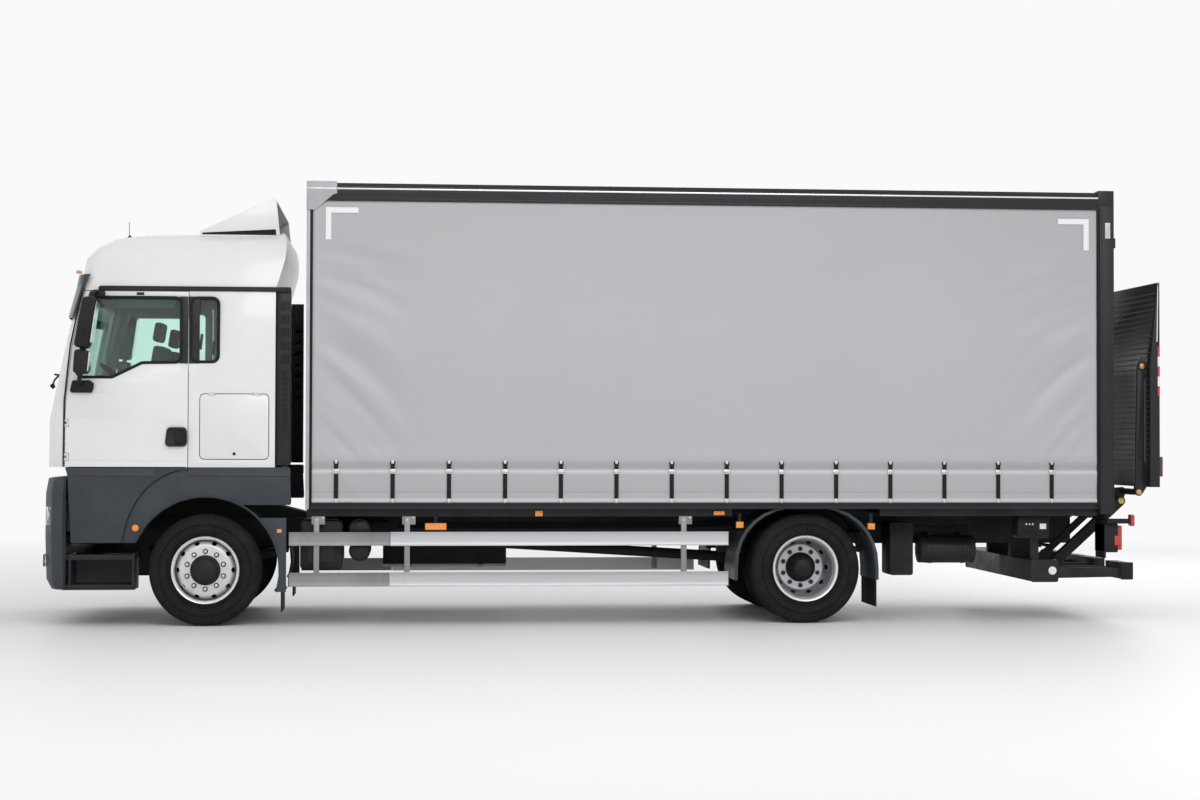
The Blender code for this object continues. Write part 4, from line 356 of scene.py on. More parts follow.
# Height and share of the fabric's tone, with painted shade over the belt and on the skirt below it, painted
# highlights on the belt's folds and on the hem, two welds, darker towards the top
BELT_PAINTED_SHADING = (
    (1.105, 1.00), (1.113, 1.14), (1.128, 1.10), (1.140, 0.93), (1.176, 0.92), (1.183, 0.72),
    (1.192, 0.90), (1.250, 0.93), (1.345, 0.94), (1.362, 1.12), (1.376, 1.26), (1.388, 1.10),
    (1.398, 0.84), (1.430, 0.80), (1.470, 0.90), (1.530, 1.00), (2.000, 0.99), (2.216, 0.99),
    (2.219, 0.955), (2.224, 0.99), (2.766, 0.98), (2.769, 0.945), (2.774, 0.975), (3.790, 0.90),
)


def painted_belt_shading(tree):
    """A ramp over the height of the curtain with the shares of its tone: the painted shade and highlights at
    the belt.
    """
    lowest, highest = BELT_PAINTED_SHADING[0][0], BELT_PAINTED_SHADING[-1][0]
    brightest = max(share for _, share in BELT_PAINTED_SHADING)
    split = add_node(tree, "ShaderNodeSeparateXYZ")
    scaled = add_node(tree, "ShaderNodeMapRange", {"From Min": lowest, "From Max": highest})
    painted_shades = add_node(tree, "ShaderNodeValToRGB")
    stops = painted_shades.color_ramp.elements
    while len(stops) < len(BELT_PAINTED_SHADING):
        stops.new(0.5)
    for stop, (height, share) in zip(stops, BELT_PAINTED_SHADING):
        stop.position = (height - lowest) / (highest - lowest)
        stop.color = (*[share / brightest] * 3, 1)
    link(tree, (split.outputs["Z"], scaled.inputs["Value"]), (scaled.outputs[0], painted_shades.inputs[0]))
    return split, painted_shades


def curtain_material():
    """Coated fabric: the weave shows faintly through the coat, with a slow sheen over it, and painted shade
    and highlights at the belt.
    """
    tree, shader = new_material("curtain_fabric", CURTAIN_FACTS)
    coordinates, ramp, bump = toned_tree(tree, shader, CURTAIN_FACTS)
    both = add_node(tree, "ShaderNodeMath", operation="ADD")
    cloth = add_node(tree, "ShaderNodeBump", {"Distance": WEAVE_RELIEF, "Strength": 0.5})
    for place, direction in enumerate("XZ"):
        threads = add_node(tree, "ShaderNodeTexWave", {"Scale": WEAVE_SCALE}, bands_direction=direction)
        link(tree,
             (coordinates.outputs["Object"], threads.inputs["Vector"]),
             (threads.outputs["Fac"], both.inputs[place]))
    split, painted_shades = painted_belt_shading(tree)
    # The fabric's tone times the painted shade and highlights over the belt
    with_painted_shade = add_node(tree, "ShaderNodeMix", data_type="RGBA", blend_type="MULTIPLY")
    with_painted_shade.inputs["Factor"].default_value = 1.0
    link(tree,
         (coordinates.outputs["Object"], split.inputs[0]),
         (ramp.outputs[0], with_painted_shade.inputs["A"]),
         (painted_shades.outputs[0], with_painted_shade.inputs["B"]),
         (with_painted_shade.outputs["Result"], shader.inputs["Base Color"]),
         (both.outputs[0], cloth.inputs["Height"]),
         (bump.outputs[0], cloth.inputs["Normal"]),
         (cloth.outputs[0], shader.inputs["Normal"]))
    shader.inputs["Sheen Weight"].default_value = 0.1


curtain_material()


# Modelling helpers
def about(middle, half):
    """A (low, high) pair about a middle."""
    return middle - half, middle + half


def oblong(across, up):
    """A rectangle's corners from two (low, high) pairs."""
    return [(across[0], up[0]), (across[1], up[0]), (across[1], up[1]), (across[0], up[1])]


def only(piece):
    """Leaves one object selected and active."""
    if bpy.context.object and bpy.context.object.mode != "OBJECT":
        bpy.ops.object.mode_set(mode="OBJECT")
    bpy.ops.object.select_all(action="DESELECT")
    piece.select_set(True)
    bpy.context.view_layer.objects.active = piece


def soften(piece, width, segments=2, angle=30):
    """Rounds the edges that are sharper than an angle."""
    if width == 0:
        return piece
    only(piece)
    step = piece.modifiers.new("edge", "BEVEL")
    step.width = width
    step.segments = segments
    step.limit_method = "ANGLE"
    step.angle_limit = math.radians(angle)
    step.use_clamp_overlap = True
    bpy.ops.object.modifier_apply(modifier=step.name)
    return piece


def cuboid(x, y, z, edge=0.003, segments=2):
    """A block between (low, high) pairs with its edges rounded."""
    bpy.ops.object.select_all(action="DESELECT")
    middle = [sum(pair) / 2 for pair in (x, y, z)]
    span = [pair[1] - pair[0] for pair in (x, y, z)]
    bpy.ops.mesh.primitive_cube_add(size=1, location=middle)
    piece = bpy.context.active_object
    piece.scale = span
    bpy.ops.object.transform_apply(location=False, rotation=False, scale=True)
    return soften(piece, edge, segments)


AXES = {"x": Vector((1, 0, 0)), "y": Vector((0, 1, 0)), "z": Vector((0, 0, 1))}
ACROSS = {"x": Vector((0, 0, 1)), "y": Vector((0, 0, 1)), "z": Vector((1, 0, 0))}


def in_plane(axis, a, b, c):
    """(y, z) along x, (x, z) along y or (x, y) along z."""
    return Vector({"x": (c, a, b), "y": (a, c, b), "z": (a, b, c)}[axis])


def drawn(points):
    """A chain of edges through points, pulled out of one vertex; stays in edit mode."""
    bpy.ops.object.select_all(action="DESELECT")
    bpy.ops.mesh.primitive_plane_add(size=0.01, location=points[0])
    piece = bpy.context.active_object
    bpy.ops.object.mode_set(mode="EDIT")
    bpy.ops.mesh.select_mode(type="VERT")
    bpy.ops.mesh.select_all(action="SELECT")
    bpy.ops.mesh.merge(type="CENTER")
    for here, after in zip(points, points[1:]):
        bpy.ops.mesh.extrude_vertices_move(TRANSFORM_OT_translate={"value": after - here})
    bpy.ops.mesh.select_all(action="SELECT")
    return piece


MERGE_REACH = 0.00005


def closed_up():
    """Merges what lies on one place, turns faces outwards and leaves edit mode."""
    bpy.ops.mesh.select_all(action="SELECT")
    bpy.ops.mesh.remove_doubles(threshold=MERGE_REACH)
    bpy.ops.mesh.normals_make_consistent(inside=False)
    bpy.ops.object.mode_set(mode="OBJECT")


def plate(outline, axis, low, high, edge=0.003, segments=2):
    """An outline filled and pulled out along an axis."""
    piece = drawn([in_plane(axis, a, b, low) for a, b in list(outline) + [outline[0]]])
    bpy.ops.mesh.remove_doubles(threshold=MERGE_REACH)
    bpy.ops.mesh.select_all(action="SELECT")
    bpy.ops.mesh.edge_face_add()
    bpy.ops.mesh.extrude_region_move(TRANSFORM_OT_translate={"value": AXES[axis] * (high - low)})
    closed_up()
    return soften(piece, edge, segments)


def turned(profile, centre, axis="y", steps=48):
    """A (radius, along) line spun about an axis through a centre."""
    centre = Vector(centre)
    points = [centre + ACROSS[axis] * radius + AXES[axis] * along for radius, along in profile]
    piece = drawn(points)
    bpy.ops.mesh.spin(steps=steps, angle=2 * math.pi, center=centre, axis=AXES[axis])
    closed_up()
    return piece


def bar(start, end, radius, sides=16, edge=0.002):
    """A round bar between two points."""
    start, end = Vector(start), Vector(end)
    run = end - start
    bpy.ops.object.select_all(action="DESELECT")
    bpy.ops.mesh.primitive_cylinder_add(vertices=sides, radius=radius, depth=run.length,
                                        location=(start + end) / 2)
    piece = bpy.context.active_object
    piece.rotation_euler = run.to_track_quat("Z", "Y").to_euler()
    bpy.ops.object.transform_apply(location=False, rotation=True, scale=False)
    return soften(piece, edge)


def pipe(points, radius, smooth=True, resolution=3):
    """A bent tube through points."""
    line = bpy.data.curves.new("pipe", "CURVE")
    line.dimensions = "3D"
    line.bevel_depth = radius
    line.bevel_resolution = resolution
    line.use_fill_caps = True
    path = line.splines.new("NURBS" if smooth else "POLY")
    path.points.add(len(points) - 1)
    for spot, place in zip(path.points, points):
        spot.co = (*place, 1)
    if smooth:
        path.order_u = 3
        path.use_endpoint_u = True
    piece = bpy.data.objects.new("pipe", line)
    bpy.context.scene.collection.objects.link(piece)
    only(piece)
    bpy.ops.object.convert(target="MESH")
    return bpy.context.active_object


def copied(piece, shift=(0, 0, 0), turn_about=None):
    """A copy with its own mesh, moved and maybe turned: turn_about is (matrix, centre)."""
    twin = piece.copy()
    twin.data = piece.data.copy()
    bpy.context.scene.collection.objects.link(twin)
    if turn_about:
        rotation, centre = turn_about
        place = Matrix.Translation(centre) @ rotation @ Matrix.Translation(-Vector(centre))
        twin.matrix_world = place @ twin.matrix_world
    twin.location += Vector(shift)
    return twin


def mirrored(piece):
    """The mirror image across the truck's middle plane."""
    twin = copied(piece)
    only(twin)
    bpy.ops.object.transform_apply(location=True, rotation=True, scale=True)
    twin.data.transform(Matrix.Diagonal((1, -1, 1, 1)))
    twin.data.flip_normals()
    return twin


def gathered(pieces):
    """Several objects as one."""
    if len(pieces) == 1:
        return pieces[0]
    only(pieces[0])
    for piece in pieces[1:]:
        piece.select_set(True)
    bpy.ops.object.join()
    return bpy.context.active_object


def blocks(*rows):
    """Blocks from rows of their values, gathered in one."""
    return gathered([cuboid(*row) for row in rows])


def divided(piece, cuts):
    """A piece with every face cut up, so that it can be bent."""
    only(piece)
    bpy.ops.object.mode_set(mode="EDIT")
    bpy.ops.mesh.select_all(action="SELECT")
    bpy.ops.mesh.subdivide(number_cuts=cuts)
    bpy.ops.object.mode_set(mode="OBJECT")
    return piece


def round_copies(piece, count, centre, axis="Y", start=0.0):
    """Copies of a piece evenly round an axis, gathered in one."""
    ring = [copied(piece, turn_about=(Matrix.Rotation(start + 2 * math.pi * i / count, 4, axis), centre))
            for i in range(count)]
    bpy.data.objects.remove(piece)
    return gathered(ring)


def carved(piece, cutters):
    """A piece with other shapes taken out of it."""
    only(piece)
    tool = gathered(cutters)
    only(piece)
    step = piece.modifiers.new("cut", "BOOLEAN")
    step.operation = "DIFFERENCE"
    step.solver = "EXACT"
    step.use_self = True
    step.object = tool
    bpy.ops.object.modifier_apply(modifier=step.name)
    bpy.data.objects.remove(tool)
    return piece


SHARED_BODIES = ("truck", "flap", "arms", "links", "head", "loading_platform")


def given(piece, finish, body, smooth, replaces):
    """Gives a piece its finish, its body and the nodes that it stands for."""
    only(piece)
    piece.data.materials.clear()
    piece.data.materials.append(FINISHES[finish])
    bpy.ops.object.shade_smooth_by_angle(angle=math.radians(smooth))
    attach(piece, body)
    if replaces:
        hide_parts(*replaces)
    return piece


def fit(piece, name, finish, body="truck", smooth=35, replaces=()):
    """Names a finished piece, moves it to the model's origin, and gives it finish and body."""
    only(piece)
    piece.name = name
    piece.data.name = name
    piece.location.x += AXLE_X
    bpy.ops.object.transform_apply(location=True, rotation=True, scale=True)
    return given(piece, finish, body, smooth, replaces)


def fit_both(piece, name, finish, body="truck", smooth=35, replaces=()):
    """The left piece and its mirror image, each on its own side's body."""
    halves = {"left": piece, "right": mirrored(piece)}
    return [
        fit(half, name + "_" + side, finish, body if body in SHARED_BODIES else body + "_" + side, smooth,
            [node + "_" + side for node in replaces])
        for side, half in halves.items()
    ]


def dressed(node, finish, edge=0.003, smooth=35, angle=30):
    """A merged copy of a model node with rounded edges, which stands for the node."""
    solid = frame["nodes"][node]
    only(solid)
    bpy.ops.object.duplicate()
    piece = bpy.context.active_object
    body = piece["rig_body"]
    for key in [key for key in piece.keys() if key.startswith("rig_")]:
        del piece[key]
    piece.parent = None
    piece.name = node + "_finished"
    piece.data.name = piece.name
    bpy.ops.mesh.customdata_custom_splitnormals_clear()
    bpy.ops.object.mode_set(mode="EDIT")
    bpy.ops.mesh.select_all(action="SELECT")
    bpy.ops.mesh.remove_doubles(threshold=MERGE_REACH)
    bpy.ops.mesh.dissolve_limited(angle_limit=math.radians(0.5))
    bpy.ops.object.mode_set(mode="OBJECT")
    soften(piece, edge, 2, angle)
    return given(piece, finish, body, smooth, [node])


# The model's own nodes: finish and width of their rounded edges. A name that ends with _ has two sides
NODE_FINISHES = {
    "ladder_frame": ("chassis", 0.004), "driveline": ("chassis", 0.006), "front_axle": ("chassis", 0.004),
    "rear_axle": ("chassis", 0.004), "fuel_tank": ("dull_aluminium", 0.004),
    "battery_and_air": ("black_plastic", 0.005), "rear_mudguard_": ("anthracite", 0.004),
    "knuckle_": ("chassis", 0.003), "cab_shell": ("white_paint", 0.0015), "cab_roof": ("white_paint", 0.0),
    "cab_rear": ("trim_black", 0.002), "windscreen": ("green_glass", 0.0),
    "quarter_window_": ("green_glass", 0.0), "wheel_arch_": ("anthracite", 0.004),
    "sun_visor": ("smoked_visor", 0.0), "roof_deflector": ("white_paint", 0.004),
    "front_bumper": ("anthracite", 0.003), "door_": ("white_paint", 0.003),
    "door_glass_": ("green_glass", 0.0),
    "locker_hatch_": ("white_paint", 0.003), "front_flap": ("white_paint", 0.003),
    "body_floor": ("chassis", 0.003), "front_bulkhead": ("dull_aluminium", 0.003),
    "body_roof": ("body_black", 0.003), "rear_frame": ("body_black", 0.004),
    "rear_door_": ("body_black", 0.002), "lift_base": ("chassis", 0.004), "lift_arms": ("chassis", 0.004),
    "tilt_links": ("chassis", 0.004), "lift_head": ("chassis", 0.003), "platform": ("body_black", 0.003),
}


def finish_nodes():
    """Dresses the model's own nodes that stay in sight."""
    for node, (finish, edge) in NODE_FINISHES.items():
        for side in ("left", "right") if node.endswith("_") else ("",):
            dressed(node + side, finish, edge)


finish_nodes()


def repainted(piece, finish, chosen, cut_heights=()):
    """Gives a second finish to the faces whose middle, x from the front axle, is chosen."""
    only(piece)
    bpy.ops.object.mode_set(mode="EDIT")
    for height in cut_heights:
        bpy.ops.mesh.select_all(action="SELECT")
        bpy.ops.mesh.bisect(plane_co=(0, 0, height), plane_no=(0, 0, 1))
    bpy.ops.object.mode_set(mode="OBJECT")
    piece.data.materials.append(FINISHES[finish])
    index = len(piece.data.materials) - 1
    for face in piece.data.polygons:
        if chosen(face.center - Vector((AXLE_X, 0, 0))):
            face.material_index = index
    return piece


def shown(node):
    """The dressed copy of a node."""
    return bpy.data.objects[node + "_finished"]


# Where a node's second finish begins
PANEL_BORDER = 1.410
REAR_FLAP_TOP = 0.38
FRONT_FLAP_TOP = 0.335
ARCH_LINER_Y = 1.14
LOCK_RODS_X = 8.262
DECK_BOARD_LOW = 1.115
ROOF_SHEET_LOW = 3.90
ROOF_SHEET_HALF = 1.215
STEPS_FRONT_X = -1.235
TANK_BACK_Y = 0.56

for side in ("left", "right"):
    repainted(shown("door_" + side), "anthracite", lambda c: c.z < PANEL_BORDER, [PANEL_BORDER])
    repainted(shown("rear_mudguard_" + side), "mud_rubber", lambda c: c.z < REAR_FLAP_TOP)
    repainted(shown("wheel_arch_" + side), "mud_rubber",
              lambda c: c.z < FRONT_FLAP_TOP or abs(c.y) < ARCH_LINER_Y)
    repainted(shown("rear_door_" + side), "zinc", lambda c: c.x > LOCK_RODS_X)
repainted(shown("body_floor"), "deck_board", lambda c: c.z > DECK_BOARD_LOW)
repainted(shown("body_roof"), "dull_aluminium", lambda c: c.z > ROOF_SHEET_LOW and abs(c.y) < ROOF_SHEET_HALF)
repainted(shown("front_bumper"), "trim_black", lambda c: c.x > STEPS_FRONT_X)
repainted(shown("fuel_tank"), "chassis", lambda c: c.y < TANK_BACK_Y)


# Wheels
WHEELBASE = 5.400
REAR_WHEEL_Y = 1.040
TWIN_SPACING = 0.345
RIM_HALF = 0.1215
NUT_CIRCLE = 0.1675
NUTS = 10
TYRE_STEPS = 100
TYRE_SIDE = (
    # radius, distance from the tyre's middle plane
    (0.2890, 0.106), (0.3010, 0.116), (0.3060, 0.126), (0.3150, 0.130), (0.3220, 0.136), (0.3340, 0.1365),
    (0.3380, 0.140), (0.3600, 0.1445), (0.3900, 0.1490), (0.4000, 0.1495), (0.4020, 0.1470),
    (0.4120, 0.1470), (0.4140, 0.1480), (0.4400, 0.1440), (0.4620, 0.1360), (0.4640, 0.1320),
    (0.4780, 0.1265), (0.4880, 0.1190),
)
TREAD_GROOVES = (0.075, 0.026)
GROOVE_HALF = 0.0055
GROOVE_DEPTH = 0.012


def tyre_line():
    """The tyre's section from its inner bead over the tread to its outer bead."""
    half = list(TYRE_SIDE) + [(ROLLING_RADIUS - 0.0015, 0.112), (ROLLING_RADIUS, 0.100)]
    floor_radius = ROLLING_RADIUS - GROOVE_DEPTH
    for groove in TREAD_GROOVES:
        half += [(ROLLING_RADIUS, groove + GROOVE_HALF), (floor_radius, groove + GROOVE_HALF * 0.6),
                 (floor_radius, groove - GROOVE_HALF * 0.6), (ROLLING_RADIUS, groove - GROOVE_HALF)]
    whole = [(r, -a) for r, a in half] + [(r, a) for r, a in reversed(half)]
    return whole + [whole[0]]


def pressed_in(piece, chosen, rim, depth):
    """Insets chosen faces one by one and sinks them."""
    only(piece)
    for face in piece.data.polygons:
        face.select = chosen(face)
    bpy.ops.object.mode_set(mode="EDIT")
    bpy.ops.mesh.select_mode(type="FACE")
    bpy.ops.mesh.inset(thickness=rim, depth=-depth, use_individual=True)
    bpy.ops.object.mode_set(mode="OBJECT")
    return piece


def tyre():
    """A road tyre about the origin: ribs, shoulder sipes and rings on its walls."""
    piece = turned(tyre_line(), (0, 0, 0), steps=TYRE_STEPS)

    def sipe(face):
        radius = math.hypot(face.center.x, face.center.z)
        turn = math.degrees(math.atan2(face.center.x, face.center.z)) % 360
        return radius > 0.478 and 0.09 < abs(face.center.y) < 0.122 and int(turn * TYRE_STEPS / 360) % 2 == 0

    return pressed_in(piece, sipe, 0.0022, 0.006)


def outward(line, shift=0.0):
    """A section given outwards from a left wheel's middle plane, closed on itself."""
    return [(r, -(a + shift)) for r, a in line + line[:1]]


# Sections of rims and hubs: radius and distance outwards from the wheel's own middle plane
LIP = [(0.2720, -0.031), (0.2770, -0.013), (0.2860, -0.003), (0.2960, 0.001), (0.3015, -0.003),
       (0.3005, -0.013), (0.2890, -0.016), (0.2840, -0.026)]
FRONT_BARREL = [(0.274, 0.098), (0.268, 0.060), (0.2645, 0.030), (0.2645, -0.070), (0.274, -0.098),
                (0.281, -0.1200), (0.301, -0.1215), (0.301, -0.1130), (0.286, -0.1080), (0.284, -0.090),
                (0.272, -0.068), (0.272, 0.030), (0.284, 0.062), (0.286, 0.100)]
FRONT_DISC = [(0.120, 0.101), (0.214, 0.101), (0.226, 0.098), (0.238, 0.088), (0.250, 0.070),
              (0.260, 0.050), (0.2660, 0.034), (0.2600, 0.030), (0.248, 0.054), (0.236, 0.074),
              (0.222, 0.088), (0.120, 0.091)]
FRONT_HUB = [(0.0, 0.151), (0.030, 0.151), (0.034, 0.149), (0.052, 0.149), (0.056, 0.146), (0.084, 0.143),
             (0.098, 0.138), (0.108, 0.128), (0.113, 0.112), (0.124, 0.110), (0.134, 0.106), (0.134, 0.096),
             (0.0, 0.096)]
FRONT_BRAKE = [(0.05, -0.10), (0.205, -0.10), (0.205, 0.03), (0.19, 0.04), (0.05, 0.04)]
REAR_DISH = [(0.136, 0.018), (0.204, 0.018), (0.212, 0.021), (0.224, 0.032), (0.236, 0.052), (0.246, 0.076),
             (0.254, 0.100), (0.258, 0.122), (0.258, 0.200), (0.262, 0.222), (0.272, 0.262), (0.284, 0.262),
             (0.272, 0.222), (0.268, 0.196), (0.268, 0.122), (0.262, 0.094), (0.252, 0.070), (0.240, 0.044),
             (0.228, 0.024), (0.214, 0.010), (0.136, 0.008)]
REAR_FACE = [(0.134, 0.017), (0.205, 0.017), (0.207, 0.020), (0.205, 0.0215), (0.134, 0.0215)]
REAR_STEP = [(0.262, 0.226), (0.2725, 0.262), (0.2785, 0.262), (0.268, 0.226)]
REAR_BACK = [(0.136, -0.008), (0.214, -0.010), (0.240, -0.044), (0.262, -0.094), (0.268, -0.122),
             (0.268, -0.200), (0.284, -0.262), (0.301, -0.2935), (0.301, -0.284), (0.288, -0.262),
             (0.274, -0.200), (0.274, -0.120), (0.266, -0.090), (0.246, -0.044), (0.220, 0.004),
             (0.136, 0.004)]
REAR_HUB = [(0.0, 0.171), (0.040, 0.171), (0.046, 0.168), (0.070, 0.167), (0.080, 0.162), (0.092, 0.150),
            (0.098, 0.120), (0.106, 0.080), (0.118, 0.066), (0.126, 0.060), (0.134, 0.048), (0.136, 0.020),
            (0.136, -0.020), (0.0, -0.020)]
# Oval windows between the nuts, and how far out the nuts stand
FRONT_HOLES = dict(radius=0.2440, size=0.0165, long_side=1.45, low=0.02, high=0.14)
REAR_HOLES = dict(radius=0.2350, size=0.0125, long_side=1.9, low=-0.02, high=0.105)
FRONT_NUT_FACE = 0.1005
REAR_NUT_FACE = 0.0215
NUT_WASHER = [(0.009, 0.0), (0.023, 0.0), (0.023, 0.004), (0.019, 0.007), (0.009, 0.007)]


def wheel_nuts(centre, face, washer_finish, nut_finish, name, body):
    """Ten nuts with their dark washers on a left wheel's disc."""
    x, y, z = centre
    z += NUT_CIRCLE
    washer = turned(outward(NUT_WASHER, face), centre, steps=20)
    washer.data.transform(Matrix.Translation((0, 0, NUT_CIRCLE)))
    nut = bar((x, y - face, z), (x, y - face - 0.026, z), 0.0150, 6, 0.0015)
    cap = bar((x, y - face - 0.020, z), (x, y - face - 0.034, z), 0.0085, 14, 0.002)
    fit_both(round_copies(washer, NUTS, centre), name + "_washers", washer_finish, body)
    fit_both(round_copies(gathered([nut, cap]), NUTS, centre), name + "_nuts", nut_finish, body)


def hand_holes(disc, centre, radius, size, long_side, low, high):
    """Oval windows round a wheel disc, between its nuts."""
    x, y, z = centre
    hole = bar((x, y - low, z), (x, y - high, z), size, 20, 0)
    hole.scale = (long_side, 1, 1)
    only(hole)
    hole.location.z += radius
    bpy.ops.object.transform_apply(location=True, rotation=True, scale=True)
    ring = round_copies(hole, NUTS, centre, start=math.pi / NUTS)
    return carved(disc, [ring])


def front_wheel():
    """The front wheel's disc, rim, hub cap, brake and nuts."""
    centre = (0.0, -FRONT_WHEEL_Y, HUB_HEIGHT)
    body = "front_wheel"
    disc = turned(outward(FRONT_DISC), centre, steps=80)
    disc = hand_holes(disc, centre, **FRONT_HOLES)
    fit_both(disc, "front_wheel_disc", "wheel_paint", body, replaces=["front_rim"])
    # Rim lip in the painted highlight
    fit_both(turned(outward(LIP, RIM_HALF), centre, steps=96), "front_rim_lip", "wheel_painted_highlight", body)
    # Rim barrel in the painted shade
    fit_both(turned(outward(FRONT_BARREL), centre, steps=80), "front_rim_barrel", "wheel_painted_shade", body)
    hub = turned(outward(FRONT_HUB), centre, steps=64)
    y, z = centre[1], HUB_HEIGHT + 0.094
    screw = bar((0, y - 0.134, z), (0, y - 0.144, z), 0.007, 6, 0.001)
    screws = round_copies(screw, NUTS, centre, start=math.pi / NUTS)
    fit_both(gathered([hub, screws]), "front_hub_cap", "black_plastic", body)
    fit_both(turned(outward(FRONT_BRAKE), centre, steps=40), "front_brake", "chassis", body)
    wheel_nuts(centre, FRONT_NUT_FACE, "black_plastic", "zinc", "front", body)


def rear_wheel():
    """The twin rear wheels' outer dish, face, rims, hub and nuts."""
    centre = (WHEELBASE, -(REAR_WHEEL_Y - TWIN_SPACING / 2), HUB_HEIGHT)
    body = "rear_wheels"
    # The rear dish in the painted shade
    dish = turned(outward(REAR_DISH), centre, steps=80)
    dish = hand_holes(dish, centre, **REAR_HOLES)
    fit_both(dish, "rear_wheel_dish", "wheel_painted_shade", body, replaces=["rear_rims"])
    rings = (
        ("rear_wheel_face", outward(REAR_FACE), 80, "wheel_paint"),
        # Lip and step in the painted highlight
        ("rear_rim_lip", outward(LIP, TWIN_SPACING / 2 + RIM_HALF), 96, "wheel_painted_highlight"),
        ("rear_rim_step", outward(REAR_STEP), 96, "wheel_painted_highlight"),
        # Inner rim in the painted shade
        ("rear_rim_inner", outward(REAR_BACK), 64, "wheel_painted_shade"),
        ("rear_hub", outward(REAR_HUB), 64, "black_plastic"),
    )
    for name, section, steps, finish in rings:
        fit_both(turned(section, centre, steps=steps), name, finish, body)
    # The rear washers in the painted shade
    wheel_nuts(centre, REAR_NUT_FACE, "wheel_painted_shade", "chassis", "rear", body)


def all_tyres():
    """One tyre, copied to every wheel."""
    master = tyre()
    places = (
        ("front_tyre", 0.0, FRONT_WHEEL_Y, "front_wheel"),
        ("rear_tyre_outer", WHEELBASE, REAR_WHEEL_Y, "rear_wheels"),
        ("rear_tyre_inner", WHEELBASE, REAR_WHEEL_Y - TWIN_SPACING, "rear_wheels"),
    )
    for name, x, y, body in places:
        fit_both(copied(master, (x, -y, HUB_HEIGHT)), name + "_treaded", "tyre_rubber", body, 40, [name])
    bpy.data.objects.remove(master)


front_wheel()
rear_wheel()
all_tyres()


# Curtains: one sheet each side, its straps and buckles
STRAPS = 14
STRAP_FIRST = 1.154
STRAP_PITCH = 0.5005
SHEET_GAUGE = 0.002
SHEET_FACE = 1.2635
SHEET_CELLS = (236, 140)
LOW_ROWS = 0.45
LOW_BAND = 0.172
WELD_HEIGHTS = (2.22, 2.77)
# height, how far the folded belt and the hem stand out
BELT_PROFILE = (
    (1.570, 0.0), (1.468, 0.0062), (1.402, -0.0052), (1.372, 0.0092), (1.335, 0.0060), (1.197, -0.0010),
    (1.185, -0.0054), (1.172, 0.0006), (1.136, -0.0006), (1.118, 0.0088), (1.090, 0.0080),
)
FAN_TOP = 3.500
FAN_HEIGHT = 2.000
# seed and strength of the creases from the front and from the rear end
FRONT_FAN = (11.0, 0.0460)
REAR_FAN = (29.0, 0.0330)
MARK_LOW = 3.480


def bell(value, middle, width):
    """One at the middle, falling smoothly to nothing."""
    return math.exp(-((value - middle) / width) ** 2)


def share_of(value):
    """A value kept between nothing and one."""
    return max(0.0, min(1.0, value))


def between(rows, height):
    """A value from (height, value) rows that fall in height, straight between the rows."""
    for (z0, v0), (z1, v1) in zip(rows, rows[1:]):
        if height >= z1:
            return v0 + (v1 - v0) * share_of((z0 - height) / (z0 - z1))
    return rows[-1][1]


def curtain_relief(x, z, start, end):
    """How far the fabric stands out of its plane: creases that fan out from both ends, belt and hem."""
    relief = 0.0016 * noise.noise(Vector((x * 1.7, 0, z * 0.35)))
    relief += 0.0022 * noise.noise(Vector((x * 0.45, 5.0, z * 0.6)))
    drop = share_of((FAN_TOP - z) / FAN_HEIGHT)
    for away, (seed, strength) in ((x - start, FRONT_FAN), (end - x, REAR_FAN)):
        across = z + (0.08 + 0.95 * drop) * away
        crease = noise.noise(Vector((across * 4.6, seed, away * 0.7)))
        crease += 0.45 * noise.noise(Vector((across * 10.0, seed + 3.0, away * 1.4)))
        reach = math.exp(-(away / 0.78) ** 4) * min(1.0, away / 0.22)
        relief += strength * crease * reach
    over_belt = share_of((z - 1.46) / 0.16)
    under_mark = max(0.08, min(1.0, (MARK_LOW - z) / 0.40))
    relief *= (0.20 + 0.80 * over_belt) * under_mark
    nearest = STRAP_FIRST + STRAP_PITCH * round((x - STRAP_FIRST) / STRAP_PITCH)
    pull = bell(x, nearest, 0.055)
    relief += between(BELT_PROFILE, z) * (1 - 0.75 * pull)
    relief -= 0.0016 * pull * bell(z, 1.30, 0.13)
    for weld in WELD_HEIGHTS:
        relief += 0.0009 * bell(z, weld, 0.012)
    return relief


def finer_below(share):
    """Row heights of the grid, closer together over the belt and the hem."""
    if share < LOW_ROWS:
        return share / LOW_ROWS * LOW_BAND
    return LOW_BAND + (share - LOW_ROWS) / (1 - LOW_ROWS) * (1 - LOW_BAND)


def curtain_sheet():
    """The left curtain and its flat size."""
    low, high = box("curtain_left")
    start, end = low.x, high.x
    bpy.ops.object.select_all(action="DESELECT")
    bpy.ops.mesh.primitive_grid_add(x_subdivisions=SHEET_CELLS[0], y_subdivisions=SHEET_CELLS[1], size=1,
                                    location=((start + end) / 2, 0, (low.z + high.z) / 2))
    piece = bpy.context.active_object
    piece.scale = (end - start, high.z - low.z, 1)
    piece.rotation_euler.x = math.pi / 2
    bpy.ops.object.transform_apply(location=True, rotation=True, scale=True)
    for point in piece.data.vertices:
        point.co.z = low.z + finer_below((point.co.z - low.z) / (high.z - low.z)) * (high.z - low.z)
        point.co.y = -SHEET_FACE - curtain_relief(point.co.x, point.co.z, start, end)
    only(piece)
    step = piece.modifiers.new("gauge", "SOLIDIFY")
    step.thickness = SHEET_GAUGE
    step.offset = 1
    bpy.ops.object.modifier_apply(modifier=step.name)
    return piece, (high.z - low.z, end - start)


def row_of(piece, count, pitch):
    """Copies of a piece in a row along the truck, gathered in one."""
    row = [copied(piece, (pitch * i, 0, 0)) for i in range(count)]
    bpy.data.objects.remove(piece)
    return gathered(row)


